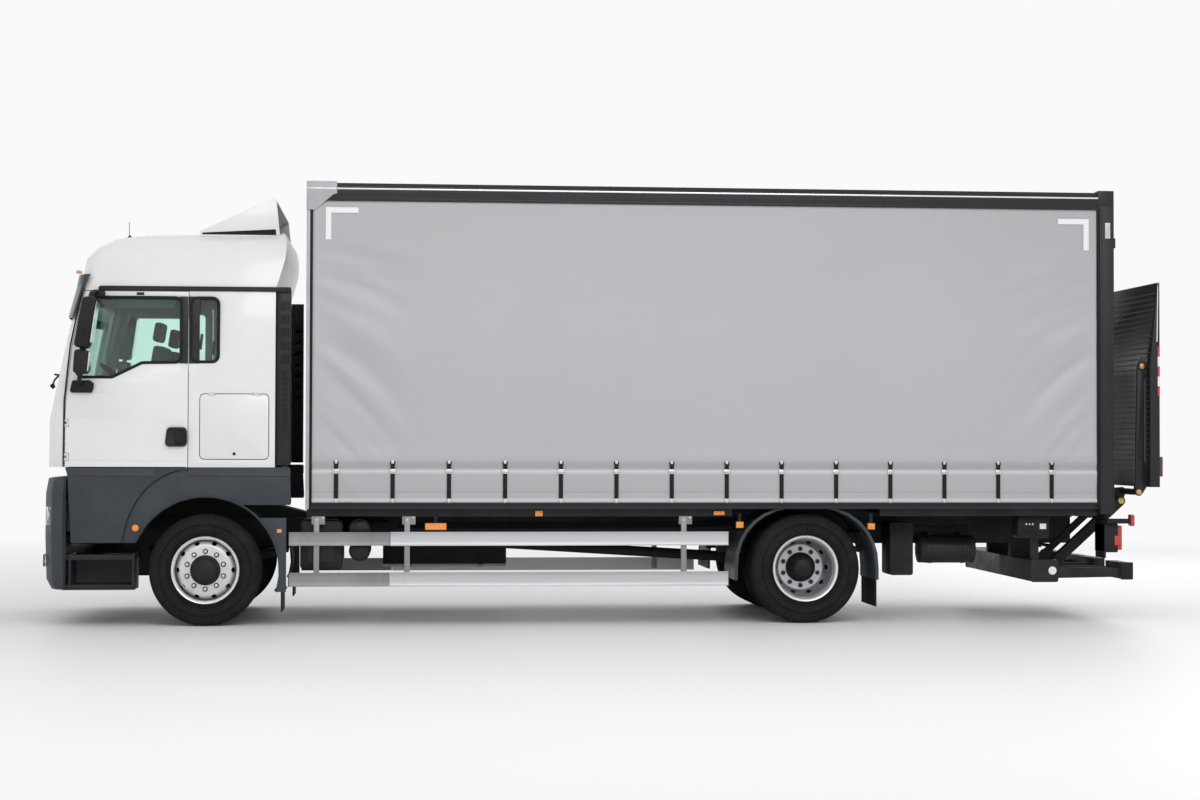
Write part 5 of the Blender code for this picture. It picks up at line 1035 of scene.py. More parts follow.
def curtains():
    """Both curtains with their straps and buckles."""
    sheet, flat = curtain_sheet()
    for half in fit_both(sheet, "curtain_sheet", "curtain_fabric", replaces=["curtain"], smooth=180):
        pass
    x, y = STRAP_FIRST, SHEET_FACE + 0.006
    strap = blocks(
        (about(x, 0.019), (-y - 0.004, -y - 0.001), (1.128, 1.362), 0.001),
        (about(x, 0.019), (-y - 0.007, -y - 0.001), (1.388, 1.452), 0.0015),
        (about(x, 0.023), (-y - 0.006, -y - 0.001), (1.440, 1.466), 0.002),
    )
    fit_both(row_of(strap, STRAPS, STRAP_PITCH), "curtain_straps", "webbing")
    buckle = gathered([
        cuboid(about(x, 0.026), (-y - 0.012, -y - 0.002), (1.356, 1.398), 0.003),
        bar((x - 0.028, -y - 0.010, 1.376), (x + 0.028, -y - 0.010, 1.376), 0.006, 12, 0.001),
        cuboid(about(x, 0.012), (-y - 0.009, -y - 0.003), (1.446, 1.474), 0.002),
        cuboid(about(x, 0.022), (-y - 0.009, -y - 0.001), (1.122, 1.134), 0.002),
        cuboid(about(x, 0.013), (-y - 0.007, -y + 0.002), (1.098, 1.126), 0.003),
    ])
    fit_both(row_of(buckle, STRAPS, STRAP_PITCH), "curtain_buckles", "zinc")


curtains()


# Load space trim
BODY_SIDE = 1.275
RAIL_REAR = 8.112
CORNER_MARKS = (
    # x of the upright's outer edge, way along x, top
    (1.052, 1, 3.728),
    (8.012, -1, 3.702),
)
MARK_LENGTH = 0.290
MARK_WIDTH = 0.050


def corner_marks():
    """Reflective angles at the curtains' upper corners."""
    y = -SHEET_FACE - 0.0095
    marks = []
    for x, way, top in CORNER_MARKS:
        across, upright = sorted((x, x + way * MARK_LENGTH)), sorted((x, x + way * MARK_WIDTH))
        foot = top - MARK_LENGTH, top - MARK_WIDTH * 0.9
        marks.append(cuboid(across, (y - 0.001, y + 0.004), (top - MARK_WIDTH, top), 0.0004, 1))
        marks.append(cuboid(upright, (y - 0.0011, y + 0.004), foot, 0.0004, 1))
    fit_both(gathered(marks), "corner_marks", "reflective_white")


def load_space_trim():
    """Lines, ribs, casting, pole, seals and posts round the curtain."""
    side = -BODY_SIDE
    # The bright line is a painted highlight along the cant rail
    line = blocks(
        ((1.150, RAIL_REAR), (side - 0.004, side + 0.004), (3.888, 3.902), 0.002),
        ((0.884, 1.140), (side - 0.007, side + 0.004), (3.890, 3.900), 0.002),
    )
    fit_both(line, "cant_rail_line", "wheel_painted_highlight")
    rib = blocks(
        ((1.150, RAIL_REAR), (side - 0.003, side + 0.004), (3.935, 3.944), 0.002),
        ((1.100, RAIL_REAR), (side - 0.002, side + 0.004), (3.842, 3.852), 0.002),
        ((0.990, RAIL_REAR), (side - 0.004, side + 0.010), (3.788, 3.812), 0.003),
    )
    fit_both(rib, "cant_rail_ribs", "body_black")
    casting = [(0.884, 3.704), (0.950, 3.704), (0.975, 3.716), (1.118, 3.840), (1.152, 3.850), (1.152, 3.958),
               (0.900, 3.958), (0.884, 3.945)]
    corner = gathered([
        plate(casting, "y", side - 0.005, side + 0.012, 0.003),
        cuboid((0.882, 0.889), (side - 0.003, -1.130), (3.704, 3.957), 0.003),
        cuboid((0.882, 1.150), (side - 0.003, -1.130), (3.950, 3.960), 0.003),
    ])
    fit_both(corner, "corner_casting", "grey_casting")
    pole = cuboid((0.884, 0.916), (side + 0.002, -1.245), (1.040, 3.704), 0.006)
    fit_both(pole, "front_pole", "grey_casting")
    seal = blocks(
        ((0.917, 0.936), (-1.2645, -1.245), (1.095, 3.704), 0.003),
        ((8.086, 8.116), (-1.2775, -1.255), (1.060, 3.795), 0.004),
    )
    fit_both(seal, "curtain_end_seals", "rubber_and_painted_shade")
    post = blocks(
        ((8.124, 8.140), (side - 0.003, side + 0.006), (1.000, 3.950), 0.002),
        ((8.226, 8.240), (side - 0.003, side + 0.006), (1.000, 3.950), 0.002),
        ((8.098, 8.246), (side - 0.005, -1.180), (3.826, 3.964), 0.004),
    )
    fit_both(post, "rear_post_ribs", "body_black")
    lamp = cuboid((8.168, 8.212), (side - 0.008, side + 0.002), (3.530, 3.665), 0.005, 3)
    fit_both(lamp, "rear_post_lamp", "lamp_glass")
    back = cuboid((8.166, 8.214), (side - 0.003, side + 0.001), (3.526, 3.669), 0.002)
    fit_both(back, "rear_post_lamp_back", "reflective_white")
    sill = blocks(
        ((0.935, 8.105), (-1.2725, -1.168), (1.078, 1.098), 0.003),
        ((0.935, 8.105), (-1.260, -1.245), (1.040, 1.080), 0.003),
    )
    fit_both(sill, "side_sill", "body_black")


corner_marks()
load_space_trim()


# Side guards
GUARD_SIDE = 1.205
GUARD_BACK = 1.180
GUARD_PLANKS = ((0.711, 0.835), (0.347, 0.475))
GUARD_FRONT = 0.732
GUARD_JOINT = 1.632
GUARD_REAR = 4.689
GUARD_POSTS = (0.98, 1.785, 4.280)


def guard_plank(start, end, face, low, high):
    """A drawn profile with a rib along its upper and lower edge."""
    third = (high - low) / 3
    third = (high - low) / 3
    bed = -face + 0.0025
    outline = [(-face, low), (-GUARD_BACK, low), (-GUARD_BACK, high), (-face, high), (-face, high - 0.012),
               (bed, high - 0.014), (bed, low + 2 * third), (-face + 0.004, low + 1.5 * third),
               (bed, low + third), (bed, low + 0.014), (-face, low + 0.012)]
    return plate(outline, "x", start, end, 0.001, 1)


def side_guards():
    """Planks, end caps, posts and bolts of a side guard."""
    long_run, front_run, caps, posts, bolts = [], [], [], [], []
    for low, high in GUARD_PLANKS:
        long_run.append(guard_plank(GUARD_JOINT + 0.004, GUARD_REAR - 0.003, GUARD_SIDE, low, high))
        inner = low + 0.002, high - 0.002
        front_run.append(guard_plank(GUARD_FRONT + 0.003, GUARD_JOINT, GUARD_SIDE - 0.007, *inner))
        for x, y in ((GUARD_FRONT, -GUARD_SIDE + 0.004), (GUARD_REAR - 0.006, -GUARD_SIDE - 0.001)):
            caps.append(cuboid((x, x + 0.006), (y, -GUARD_BACK), (low, high), 0.002))
        for x in GUARD_POSTS[1:]:
            for z in (low + 0.035, high - 0.035):
                bolts.append(bar((x, -GUARD_SIDE + 0.003, z), (x, -GUARD_SIDE - 0.003, z), 0.007, 12, 0.001))
    for x in GUARD_POSTS:
        posts.append(cuboid(about(x, 0.025), (-GUARD_BACK - 0.001, -1.145), (0.367, 0.968), 0.004))
        posts.append(cuboid((x - 0.045, x + 0.075), (-1.176, -1.120), (0.900, 1.020), 0.004))
        bolts.append(bar((x, -1.176, 0.940), (x, -1.186, 0.940), 0.010, 6, 0.001))
        bolts.append(bar((x + 0.055, -1.170, 0.960), (x + 0.055, -1.184, 0.960), 0.010, 6, 0.001))
    fit_both(gathered(long_run), "guard_planks", "planked_aluminium", replaces=["side_guard"])
    fit_both(gathered(front_run), "guard_front_planks", "dull_aluminium")
    fit_both(gathered(caps), "guard_end_caps", "black_plastic")
    fit_both(gathered(posts), "guard_posts", "dull_aluminium")
    fit_both(gathered(bolts), "guard_bolts", "zinc")


side_guards()


# Cab
CAB_SIDE = 1.200
# height, half width, front x, corner's depth along x and along y
CAB_TAPER = (
    (1.410, 1.200, -1.410, 0.180, 0.34), (1.830, 1.200, -1.406, 0.180, 0.34),
    (2.140, 1.200, -1.340, 0.170, 0.32), (2.630, 1.190, -1.236, 0.160, 0.30),
    (3.000, 1.175, -1.140, 0.160, 0.30), (3.270, 1.130, -1.100, 0.190, 0.32),
)
WINDOW = [(-0.970, 2.905), (-1.118, 2.300), (-1.118, 2.215), (-0.820, 2.215), (-0.560, 2.345),
          (-0.222, 2.350), (-0.222, 2.905)]
QUARTER_WINDOW = [(-0.120, 2.905), (-0.120, 2.355), (0.100, 2.355), (0.100, 2.905)]
DOOR_FRONT = [(-1.2265, 1.412), (-1.2215, 2.000), (-1.1715, 2.490), (-1.0725, 2.968)]


def side_at(x, z):
    """The cab's half width at a place on its side, where it tapers and where it curves to the front."""
    row = CAB_TAPER[0]
    for low, high in zip(CAB_TAPER, CAB_TAPER[1:]):
        if z > low[0]:
            share = min(1.0, (z - low[0]) / (high[0] - low[0]))
            row = [a + (b - a) * share for a, b in zip(low, high)]
    _, half, front, depth, corner = row
    turn = min(1.0, max(0.0, 1 - (x - front) / depth))
    return half - corner * (1 - math.sqrt(1 - turn * turn))


def leaned(piece):
    """Moves a side piece in with the cab's form."""
    for point in piece.data.vertices:
        point.co.y += CAB_SIDE - side_at(point.co.x, point.co.z)
    return piece


def rounded(outline, radius, steps=4):
    """An outline with arcs at its corners."""
    points = []
    for i, corner in enumerate(outline):
        here = Vector(corner)
        before = (Vector(outline[i - 1]) - here).normalized()
        after = (Vector(outline[(i + 1) % len(outline)]) - here).normalized()
        half = before.angle(after) / 2
        reach = radius / math.tan(half)
        middle = here + (before + after).normalized() * (radius / math.sin(half))
        start = here + before * reach - middle
        sweep = start.angle_signed(here + after * reach - middle)
        for k in range(steps + 1):
            points.append(tuple(middle + Matrix.Rotation(-sweep * k / steps, 2) @ start))
    return points


def rounded_plate(outline, radius, axis, low, high, edge=0.003, segments=2):
    """A plate whose outline has arcs at its corners."""
    return plate(rounded(outline, radius), axis, low, high, edge, segments)


def grown(outline, margin):
    """An outline moved outwards by a margin."""
    area = sum(a[0] * b[1] - b[0] * a[1] for a, b in zip(outline, outline[1:] + outline[:1]))
    way = 1 if area > 0 else -1
    moved = []
    for i, point in enumerate(outline):
        before = Vector(point) - Vector(outline[i - 1])
        after = Vector(outline[(i + 1) % len(outline)]) - Vector(point)
        n1 = Vector((before.y, -before.x)).normalized() * way
        n2 = Vector((after.y, -after.x)).normalized() * way
        middle = n1 + n2
        moved.append(tuple(Vector(point) + middle * (2 * margin / middle.length_squared)))
    return moved


def frame_round(outline, margin, radius, low, high, inset=0.004):
    """A flat band round a window's outline."""
    outer = plate(rounded(grown(outline, margin), radius + margin), "y", low, high, 0)
    inner = plate(rounded(grown(outline, -inset), radius), "y", low - 0.02, high + 0.02, 0)
    return soften(carved(outer, [inner]), 0.002)


def window_trim():
    """Seals round the side windows, the black pillar between them, and the roof gutter."""
    seal_y = (-CAB_SIDE - 0.003, -CAB_SIDE + 0.030)
    trim_y = (-CAB_SIDE - 0.0028, -CAB_SIDE + 0.006)
    door_seal = leaned(frame_round(WINDOW, 0.022, 0.045, *seal_y))
    fit_both(door_seal, "door_window_seal", "rubber_and_painted_shade", "cab_door")
    quarter_seal = leaned(frame_round(QUARTER_WINDOW, 0.022, 0.045, *seal_y))
    fit_both(quarter_seal, "quarter_window_seal", "rubber_and_painted_shade")
    on_door = leaned(cuboid((-0.232, -0.1575), trim_y, (2.330, 2.925), 0.001))
    fit_both(on_door, "door_pillar_trim", "trim_black", "cab_door")
    on_cab = leaned(cuboid((-0.1495, -0.055), trim_y, (2.330, 2.925), 0.001))
    fit_both(on_cab, "cab_pillar_trim", "trim_black")
    outline = [(x - 0.004, z) for x, z in DOOR_FRONT] + [(x - 0.017, z) for x, z in reversed(DOOR_FRONT)]
    line = plate(outline, "y", -CAB_SIDE - 0.0016, -CAB_SIDE + 0.004, 0)
    fit_both(leaned(divided(line, 6)), "door_front_seal", "rubber_and_painted_shade")
    outline = [(-0.945, 2.984), (-0.930, 2.974), (0.744, 2.974), (0.744, 3.016), (-0.925, 3.016),
               (-0.945, 3.004)]
    gutter = plate(outline, "y", -1.190, -1.160, 0.004)
    lip = cuboid((-0.930, 0.744), (-1.194, -1.180), (3.008, 3.016), 0.002)
    fit_both(gathered([gutter, lip]), "roof_gutter", "trim_black")
    grip = cuboid((-0.610, -0.545), (-1.186, -1.170), (2.936, 2.960), 0.006, 3)
    fit_both(grip, "door_upper_buffer", "trim_black", "cab_door")


def panel_ledge(start, end):
    """The pressed step along the top of the dark lower panels."""
    y = -CAB_SIDE
    outline = [(y + 0.004, 1.403), (y - 0.0070, 1.403), (y - 0.0016, 1.348), (y - 0.0064, 1.336),
               (y + 0.004, 1.322)]
    return plate(outline, "x", start, end, 0.0012)


def door_details():
    """Handle, pressed creases and lower sill of the door, and the lock of the hatch behind it."""
    y = -CAB_SIDE
    outline = [(-0.356, 1.592), (-0.1585, 1.592), (-0.1585, 1.765), (-0.335, 1.765)]
    shell = rounded_plate(outline, 0.038, "y", y - 0.0360, y - 0.001, 0.006, 3)
    outline = [(-0.338, 1.610), (-0.1700, 1.610), (-0.1700, 1.748), (-0.320, 1.748)]
    recess = carved(shell, [rounded_plate(outline, 0.030, "y", y - 0.060, y - 0.0235, 0.006)])
    outline = [(-0.262, 1.615), (-0.176, 1.628), (-0.176, 1.712), (-0.262, 1.744)]
    pull = gathered([
        rounded_plate(outline, 0.016, "y", y - 0.0420, y - 0.032, 0.005, 3),
        cuboid((-0.262, -0.240), (y - 0.036, y - 0.022), (1.625, 1.735), 0.004),
        bar((-0.205, y - 0.041, 1.668), (-0.205, y - 0.045, 1.668), 0.012, 20, 0.002),
    ])
    fit_both(recess, "door_handle_plate", "trim_black", "cab_door")
    fit_both(pull, "door_handle", "black_plastic", "cab_door")
    creases = blocks(
        ((-1.170, -0.168), (y - 0.0022, y + 0.004), (2.060, 2.069), 0.002),
        ((-1.190, -0.168), (y - 0.0025, y + 0.004), (1.470, 1.480), 0.002),
    )
    fit_both(creases, "door_creases", "white_paint", "cab_door")
    gap = cuboid((-1.196, -0.170), (y - 0.001, y + 0.006), (1.404, 1.4135), 0.001)
    fit_both(gap, "door_belt_gap", "rubber_and_painted_shade", "cab_door")
    fit_both(panel_ledge(-1.192, -0.440), "door_lower_crease", "anthracite", "cab_door")
    lock = bar((0.252, y + 0.001, 1.530), (0.252, y - 0.004, 1.530), 0.014, 20, 0.002)
    fit_both(lock, "hatch_lock", "black_plastic", "hatch")
    crease = cuboid((-0.135, 0.604), (y - 0.0022, y + 0.004), (1.440, 1.449), 0.002)
    fit_both(crease, "cab_lower_crease", "white_paint")


ARCH_LIP_RADIUS = 0.663
ARCH_SEAM = (0.728, 0.902)
ARCH_SEAM_POWER = 0.833


def arch_details():
    """Rolled lip round the wheel, joints, side lamps and reflectors of the lower cab."""
    y = -CAB_SIDE
    lip, seam = [], []
    for i in range(25):
        angle = math.radians(158 - 6.1 * i)
        out, up = ARCH_LIP_RADIUS * math.cos(angle), ARCH_LIP_RADIUS * math.sin(angle)
        lip.append((out, y - 0.001, HUB_HEIGHT + up))
    for i in range(22):
        angle = math.radians(168 - 3.4 * i)
        x = ARCH_SEAM[0] * math.copysign(abs(math.cos(angle)) ** ARCH_SEAM_POWER, math.cos(angle))
        z = ARCH_SEAM[1] * abs(math.sin(angle)) ** ARCH_SEAM_POWER
        seam.append((x, y - 0.0005, HUB_HEIGHT + z))
    fit_both(gathered([pipe(lip, 0.006), pipe(seam, 0.004)]), "arch_lip", "anthracite")
    ledge = gathered([
        panel_ledge(-0.148, 0.749),
        cuboid((0.060, 0.064), (y - 0.0008, y + 0.004), (1.150, 1.405), 0.0005, 1),
    ])
    fit_both(ledge, "arch_ledge", "anthracite")
    section = [(0.0, 0.0), (0.030, 0.0), (0.030, 0.008), (0.024, 0.014), (0.0, 0.018)]
    lamp = turned(section, (-0.607, 0, 0.873), steps=32)
    lamp.data.transform(Matrix.Diagonal((1, -1, 1, 1)))
    lamp.data.flip_normals()
    lamp.location.y = y + 0.004
    fit_both(lamp, "arch_side_lamp", "amber_lens")
    rear = rounded_plate(oblong((0.632, 0.674), (0.828, 0.862)), 0.008, "y", y - 0.007, y + 0.001, 0.002)
    fit_both(rear, "wing_reflector", "amber_lens")


LOUVRE_ROWS = (
    # first height, rows, pitch, slot height, slot width, places along x
    (2.335, 5, 0.118, 0.080, 0.011, (0.662, 0.681, 0.700, 0.719)),
    (1.720, 12, 0.046, 0.038, 0.009, (0.674, 0.691, 0.708)),
)


def rear_louvres():
    """Cover of the black column behind the cab with its upright slots, painted dark as their shade, and the
    deflector's shadow gap, a dark plate painted as the shade under the deflector.
    """
    y = -CAB_SIDE
    cover = cuboid((0.648, 0.742), (y - 0.0035, y + 0.008), (1.460, 2.958), 0.004)
    fit_both(leaned(divided(cover, 5)), "rear_trim_cover", "trim_black")
    # The slots are dark blocks, painted as the shade inside them
    slots = []
    for first, rows, pitch, tall, wide, places in LOUVRE_ROWS:
        for i in range(rows):
            z = first + pitch * i
            slots += [cuboid((x, x + wide), (y - 0.0050, y), (z, z + tall), 0.0015, 1) for x in places]
    fit_both(leaned(gathered(slots)), "rear_trim_slots", "rubber_and_painted_shade")
    # A dark plate painted as the shade in the wedge under the roof deflector
    outline = [(-0.060, 3.500), (-0.060, 3.516), (0.594, 3.552), (0.600, 3.500)]
    fit_both(plate(outline, "y", -0.9835, -0.970, 0.001, 1), "deflector_shadow_gap", "rubber_and_painted_shade")


# Mirrors: outlines in (x, z)
MAIN_MIRROR = [(-1.117, 2.462), (-0.990, 2.452), (-0.915, 2.868), (-0.955, 2.908), (-1.040, 2.895)]
WIDE_MIRROR = [(-1.120, 2.232), (-1.000, 2.224), (-0.984, 2.428), (-1.108, 2.442)]
MIRROR_COVER = [(-1.185, 2.066), (-0.985, 2.066), (-0.970, 2.150), (-1.010, 2.176), (-1.160, 2.176)]
MIRROR_SHOE = [(-1.030, 2.916), (-0.880, 2.916), (-0.880, 2.966), (-1.010, 2.966)]
FRONT_MIRROR = [(-1.445, 2.560), (-1.385, 2.590), (-1.370, 2.700), (-1.415, 2.690), (-1.455, 2.630)]
MIRROR_GLASSES = (
    # lower and upper height, x below and above, inner and outer distance from the cab's side
    (2.500, 2.860, -0.968, -0.922, 0.100, 0.272),
    (2.250, 2.415, -0.991, -0.980, 0.110, 0.270),
)


def mirror_set():
    """Main and wide-angle mirrors in their housings, on the door's brackets, and the front mirror."""
    y = -CAB_SIDE
    main = rounded_plate(MAIN_MIRROR, 0.030, "y", y - 0.292, y - 0.080, 0.028, 4)
    wide = rounded_plate(WIDE_MIRROR, 0.030, "y", y - 0.290, y - 0.090, 0.026, 4)
    knee = pipe([(-1.060, y - 0.150, 2.262), (-1.085, y - 0.140, 2.190), (-1.085, y - 0.075, 2.150),
                 (-1.080, y - 0.010, 2.140)], 0.020)
    stem = pipe([(-1.050, y - 0.150, 2.420), (-1.040, y - 0.150, 2.470)], 0.022, False)
    top = pipe([(-0.985, y - 0.160, 2.890), (-0.970, y - 0.150, 2.948), (-0.950, y - 0.060, 2.962),
                (-0.940, y + 0.014, 2.955)], 0.018)
    cover = rounded_plate(MIRROR_COVER, 0.022, "y", y - 0.040, y - 0.001, 0.012, 3)
    shoe = leaned(rounded_plate(MIRROR_SHOE, 0.012, "y", y - 0.032, y - 0.001, 0.008, 3))
    housing = gathered([main, wide, knee, stem, top, cover, shoe])
    fit_both(housing, "mirror_housings", "black_plastic", "cab_door", 40, ["mirror"])
    glasses = []
    for low, high, x0, x1, inner, outer in MIRROR_GLASSES:
        outline = [(x0 - 0.006, low), (x0 + 0.003, low), (x1 + 0.006, high), (x1 - 0.003, high)]
        glasses.append(plate(outline, "y", y - outer, y - inner, 0.001, 1))
    fit_both(gathered(glasses), "mirror_glasses", "lamp_chrome", "cab_door")
    arm = pipe([(-1.215, 0.780, 2.860), (-1.330, 0.800, 2.820), (-1.380, 0.820, 2.740),
                (-1.400, 0.830, 2.690)], 0.012)
    head = rounded_plate(FRONT_MIRROR, 0.016, "y", 0.700, 0.960, 0.014, 3)
    fit(gathered([arm, head]), "front_mirror", "black_plastic")


WIPERS = ((-0.70, -0.05), (0.25, 0.90))
ROOF_MARKERS = (-0.78, -0.26, 0.26, 0.78)
AERIAL_FOOT = [(0.0, 0.0), (0.034, 0.0), (0.030, 0.012), (0.012, 0.030), (0.006, 0.040), (0.0, 0.042)]
AERIAL_DOME = [(0.0, 0.0), (0.040, 0.0), (0.034, 0.018), (0.014, 0.030), (0.0, 0.033)]


def cab_front():
    """Black screens behind the slots, number plate's place, wipers, roof markers and aerials."""
    behind_flap = cuboid((-1.412, -1.404), (-0.72, 0.72), (1.485, 1.665), 0.002)
    fit(behind_flap, "flap_screen", "black_plastic", "flap")
    screens = []
    for z in (0.925, 1.020, 1.115, 1.210):
        screens.append(cuboid((-1.452, -1.440), (-0.640, 0.640), (z, z + 0.010), 0.003))
    screens.append(cuboid((-1.420, -1.412), (-0.640, 0.640), (0.880, 1.260), 0.002))
    screens.append(cuboid((-1.420, -1.412), (-0.560, 0.560), (0.450, 0.640), 0.002))
    for i in range(13):
        screens.append(cuboid((-1.462, -1.425), about(-0.42 + 0.07 * i, 0.006), (0.475, 0.618), 0.002))
    fit(gathered(screens), "bumper_screens", "black_plastic")
    holder = rounded_plate(oblong((-0.27, 0.27), (0.665, 0.785)), 0.010, "x", -1.5, -1.4865, 0.003)
    fit(holder, "plate_holder", "black_plastic")
    blank = rounded_plate(oblong((-0.255, 0.255), (0.672, 0.778)), 0.008, "x", -1.5025, -1.497, 0.001)
    fit(blank, "blank_plate", "reflective_white")
    wipers = []
    for y0, y1 in WIPERS:
        wipers.append(pipe([(-1.405, y0, 2.145), (-1.425, y0 + 0.05, 2.175), (-1.405, (y0 + y1) / 2, 2.250),
                            (-1.392, y1 - 0.05, 2.300)], 0.009))
        wipers.append(cuboid((-1.412, -1.398), (y0 + 0.06, y1 + 0.10), (2.236, 2.252), 0.003))
        wipers.append(bar((-1.400, y0, 2.120), (-1.430, y0, 2.150), 0.018, 20, 0.004))
    fit(gathered(wipers), "wipers", "black_plastic")
    markers = []
    for y in ROOF_MARKERS:
        outline = [(y - 0.045, 3.150), (y + 0.045, 3.150), (y + 0.040, 3.178), (y - 0.040, 3.178)]
        markers.append(rounded_plate(outline, 0.008, "x", -1.195, -1.150, 0.006, 3))
    fit(gathered(markers), "roof_markers", "amber_lens")
    aerials = [
        turned(AERIAL_FOOT, (-0.762, -0.50, 3.490), "z", 24),
        bar((-0.762, -0.50, 3.480), (-0.768, -0.50, 3.650), 0.0028, 8, 0.001),
        turned(AERIAL_DOME, (-0.600, -0.50, 3.496), "z", 24),
    ]
    fit(gathered(aerials), "aerials", "black_plastic")


HEADLAMP_BOWLS = (
    # y, z, radius
    (0.800, 0.978, 0.062),
    (0.945, 0.985, 0.055),
    (1.070, 0.990, 0.040),
)
FOG_BOWL = [(0.0, 0.012), (0.030, 0.008), (0.050, -0.006), (0.054, -0.006), (0.054, 0.014), (0.0, 0.014)]


def headlamps():
    """Lenses, bowls and housings of the headlamps and the fog lamps."""
    for side in ("left", "right"):
        dressed("headlamp_" + side, "lamp_glass", 0.002)
    bowls = []
    for y, z, radius in HEADLAMP_BOWLS:
        back = -1.395 + 0.35 * max(0.0, y - 0.86) ** 1.2
        rim = radius + 0.004
        section = [(0.0, 0.030), (radius * 0.35, 0.026), (radius * 0.75, 0.010), (radius, -0.014),
                   (rim, -0.014), (rim, 0.036), (0.0, 0.036)]
        bowls.append(turned(section, (back, -y, z), "x", 32))
        bowls.append(bar((back - 0.014, -y, z), (back + 0.026, -y, z), radius * 0.22, 20, 0.003))
    fit_both(gathered(bowls), "headlamp_bowls", "lamp_chrome")
    housing = blocks(
        ((-1.365, -1.345), (-0.900, -0.700), (0.880, 1.070), 0.004),
        ((-1.300, -1.280), (-1.165, -0.890), (0.880, 1.070), 0.004),
    )
    fit_both(housing, "headlamp_housing", "black_plastic")
    fog = rounded_plate(oblong((-1.046, -0.864), (0.524, 0.636)), 0.020, "x", -1.432, -1.414, 0.004)
    fit_both(fog, "fog_lamp_glass", "lamp_glass")
    fit_both(turned(FOG_BOWL, (-1.412, -0.955, 0.580), "x", 32), "fog_lamp_bowl", "lamp_chrome")


window_trim()
door_details()
arch_details()
rear_louvres()
mirror_set()
cab_front()
headlamps()


# Cab interior
SEAT_PLACES = (("driver_seat", -0.62), ("passenger_seat", 0.62))
SEAT_X = -0.42
SEAT_LEAN = 9
STEERING_PLACE = (-0.820, -0.62, 2.200)
STEERING_LEAN = 38
COLUMN = [(0.0, 0.014), (0.050, 0.014), (0.072, 0.004), (0.074, -0.030), (0.045, -0.050), (0.040, -0.330),
          (0.0, -0.330)]
DASH = [(-1.210, 1.40), (-1.045, 1.40), (-1.005, 1.78), (-0.905, 1.93), (-0.905, 2.03), (-0.990, 2.10),
        (-1.185, 2.12), (-1.210, 2.05)]
DASH_HOOD = [(-1.120, 2.115), (-0.960, 2.085), (-0.965, 2.135), (-1.110, 2.160)]
ENGINE_HUMP = [(-0.36, 1.38), (0.36, 1.38), (0.34, 1.60), (-0.34, 1.60)]


def steering_wheel():
    """Rim, three spokes and column, leaned towards the driver."""
    bpy.ops.object.select_all(action="DESELECT")
    bpy.ops.mesh.primitive_torus_add(major_radius=0.225, minor_radius=0.016, major_segments=64,
                                     minor_segments=16)
    parts = [bpy.context.active_object]
    parts.append(turned(COLUMN, (0, 0, 0), "z", 32))
    for i in range(3):
        spoke = cuboid((0.04, 0.222), (-0.017, 0.017), (-0.012, 0.004), 0.005, 3)
        spoke.data.transform(Matrix.Rotation(math.radians(90 + 120 * i), 4, "Z"))
        parts.append(spoke)
    whole = gathered(parts)
    lean = Matrix.Rotation(math.radians(STEERING_LEAN), 4, "Y")
    whole.data.transform(Matrix.Translation(Vector(STEERING_PLACE)) @ lean)
    return whole


def cushion(x, y, z, edge, crown):
    """A stuffed block with crowned faces between its corners."""
    piece = divided(cuboid(x, y, z, edge, 4), 4)
    middle = Vector([sum(pair) / 2 for pair in (x, y, z)])
    half = Vector([(pair[1] - pair[0]) / 2 for pair in (x, y, z)])
    for point in piece.data.vertices:
        away = point.co - middle
        share = Vector([away[i] / half[i] for i in range(3)])
        for i, (j, k) in enumerate(((1, 2), (0, 2), (0, 1))):
            bulge = max(0.0, 1 - share[j] ** 2) * max(0.0, 1 - share[k] ** 2)
            point.co[i] += crown * bulge * share[i]
    return piece


def seat(y):
    """Cushion, back and head rest, the last two leaning back."""
    x = SEAT_X
    base = cushion((x - 0.27, x + 0.24), about(y, 0.25), (1.795, 1.925), 0.030, 0.014)
    back = cushion((x + 0.16, x + 0.28), about(y, 0.24), (1.86, 2.52), 0.030, 0.014)
    head = cushion((x + 0.20, x + 0.29), about(y, 0.13), (2.56, 2.735), 0.028, 0.010)
    for piece in (back, head):
        lean = Matrix.Translation((x + 0.16, y, 1.86)) @ Matrix.Rotation(math.radians(SEAT_LEAN), 4, "Y")
        piece.data.transform(lean @ Matrix.Translation((-x - 0.16, -y, -1.86)))
    return gathered([base, back, head])


def cab_interior():
    """Floor, engine hump, dashboard, seats, bunk and roof lining."""
    reach = 1.125
    parts = [
        cuboid((-1.185, 0.598), (-reach, reach), (1.361, 1.402), 0.004),
        plate(ENGINE_HUMP, "x", -1.10, 0.10, 0.03, 3),
        plate(DASH, "y", -1.00, 1.00, 0.018, 3),
        cuboid((0.03, 0.06), (-reach + 0.06, reach - 0.06), (1.39, 1.80), 0.004),
        plate(DASH_HOOD, "y", -0.88, -0.38, 0.012, 3),
    ]
    for _, y in SEAT_PLACES:
        parts.append(cuboid((-0.57, -0.24), about(y, 0.16), (1.40, 1.815), 0.020, 3))
        for rod in about(y, 0.05):
            parts.append(bar((-0.105, rod, 2.48), (-0.090, rod, 2.62), 0.008, 12))
    fit(gathered(parts), "cabin_trim", "cabin_plastic", replaces=["cab_interior"])
    fit(steering_wheel(), "steering_wheel", "black_plastic")
    for name, y in SEAT_PLACES:
        fit(seat(y), name, "seat_cloth", smooth=60)
    bunk = cushion((0.03, 0.590), (-1.08, 1.08), (1.800, 1.965), 0.030, 0.010)
    fit(bunk, "bunk_mattress", "seat_cloth", smooth=60)
    liners = blocks(
        ((0.585, 0.603), (-1.10, 1.10), (1.42, 2.96), 0.004),
        ((-1.02, 0.560), (-1.06, 1.06), (2.945, 2.965), 0.006),
        ((-0.88, -0.30), (-0.85, 0.85), (2.840, 2.940), 0.020, 3),
    )
    fit(liners, "cab_liner", "cabin_liner")


cab_interior()


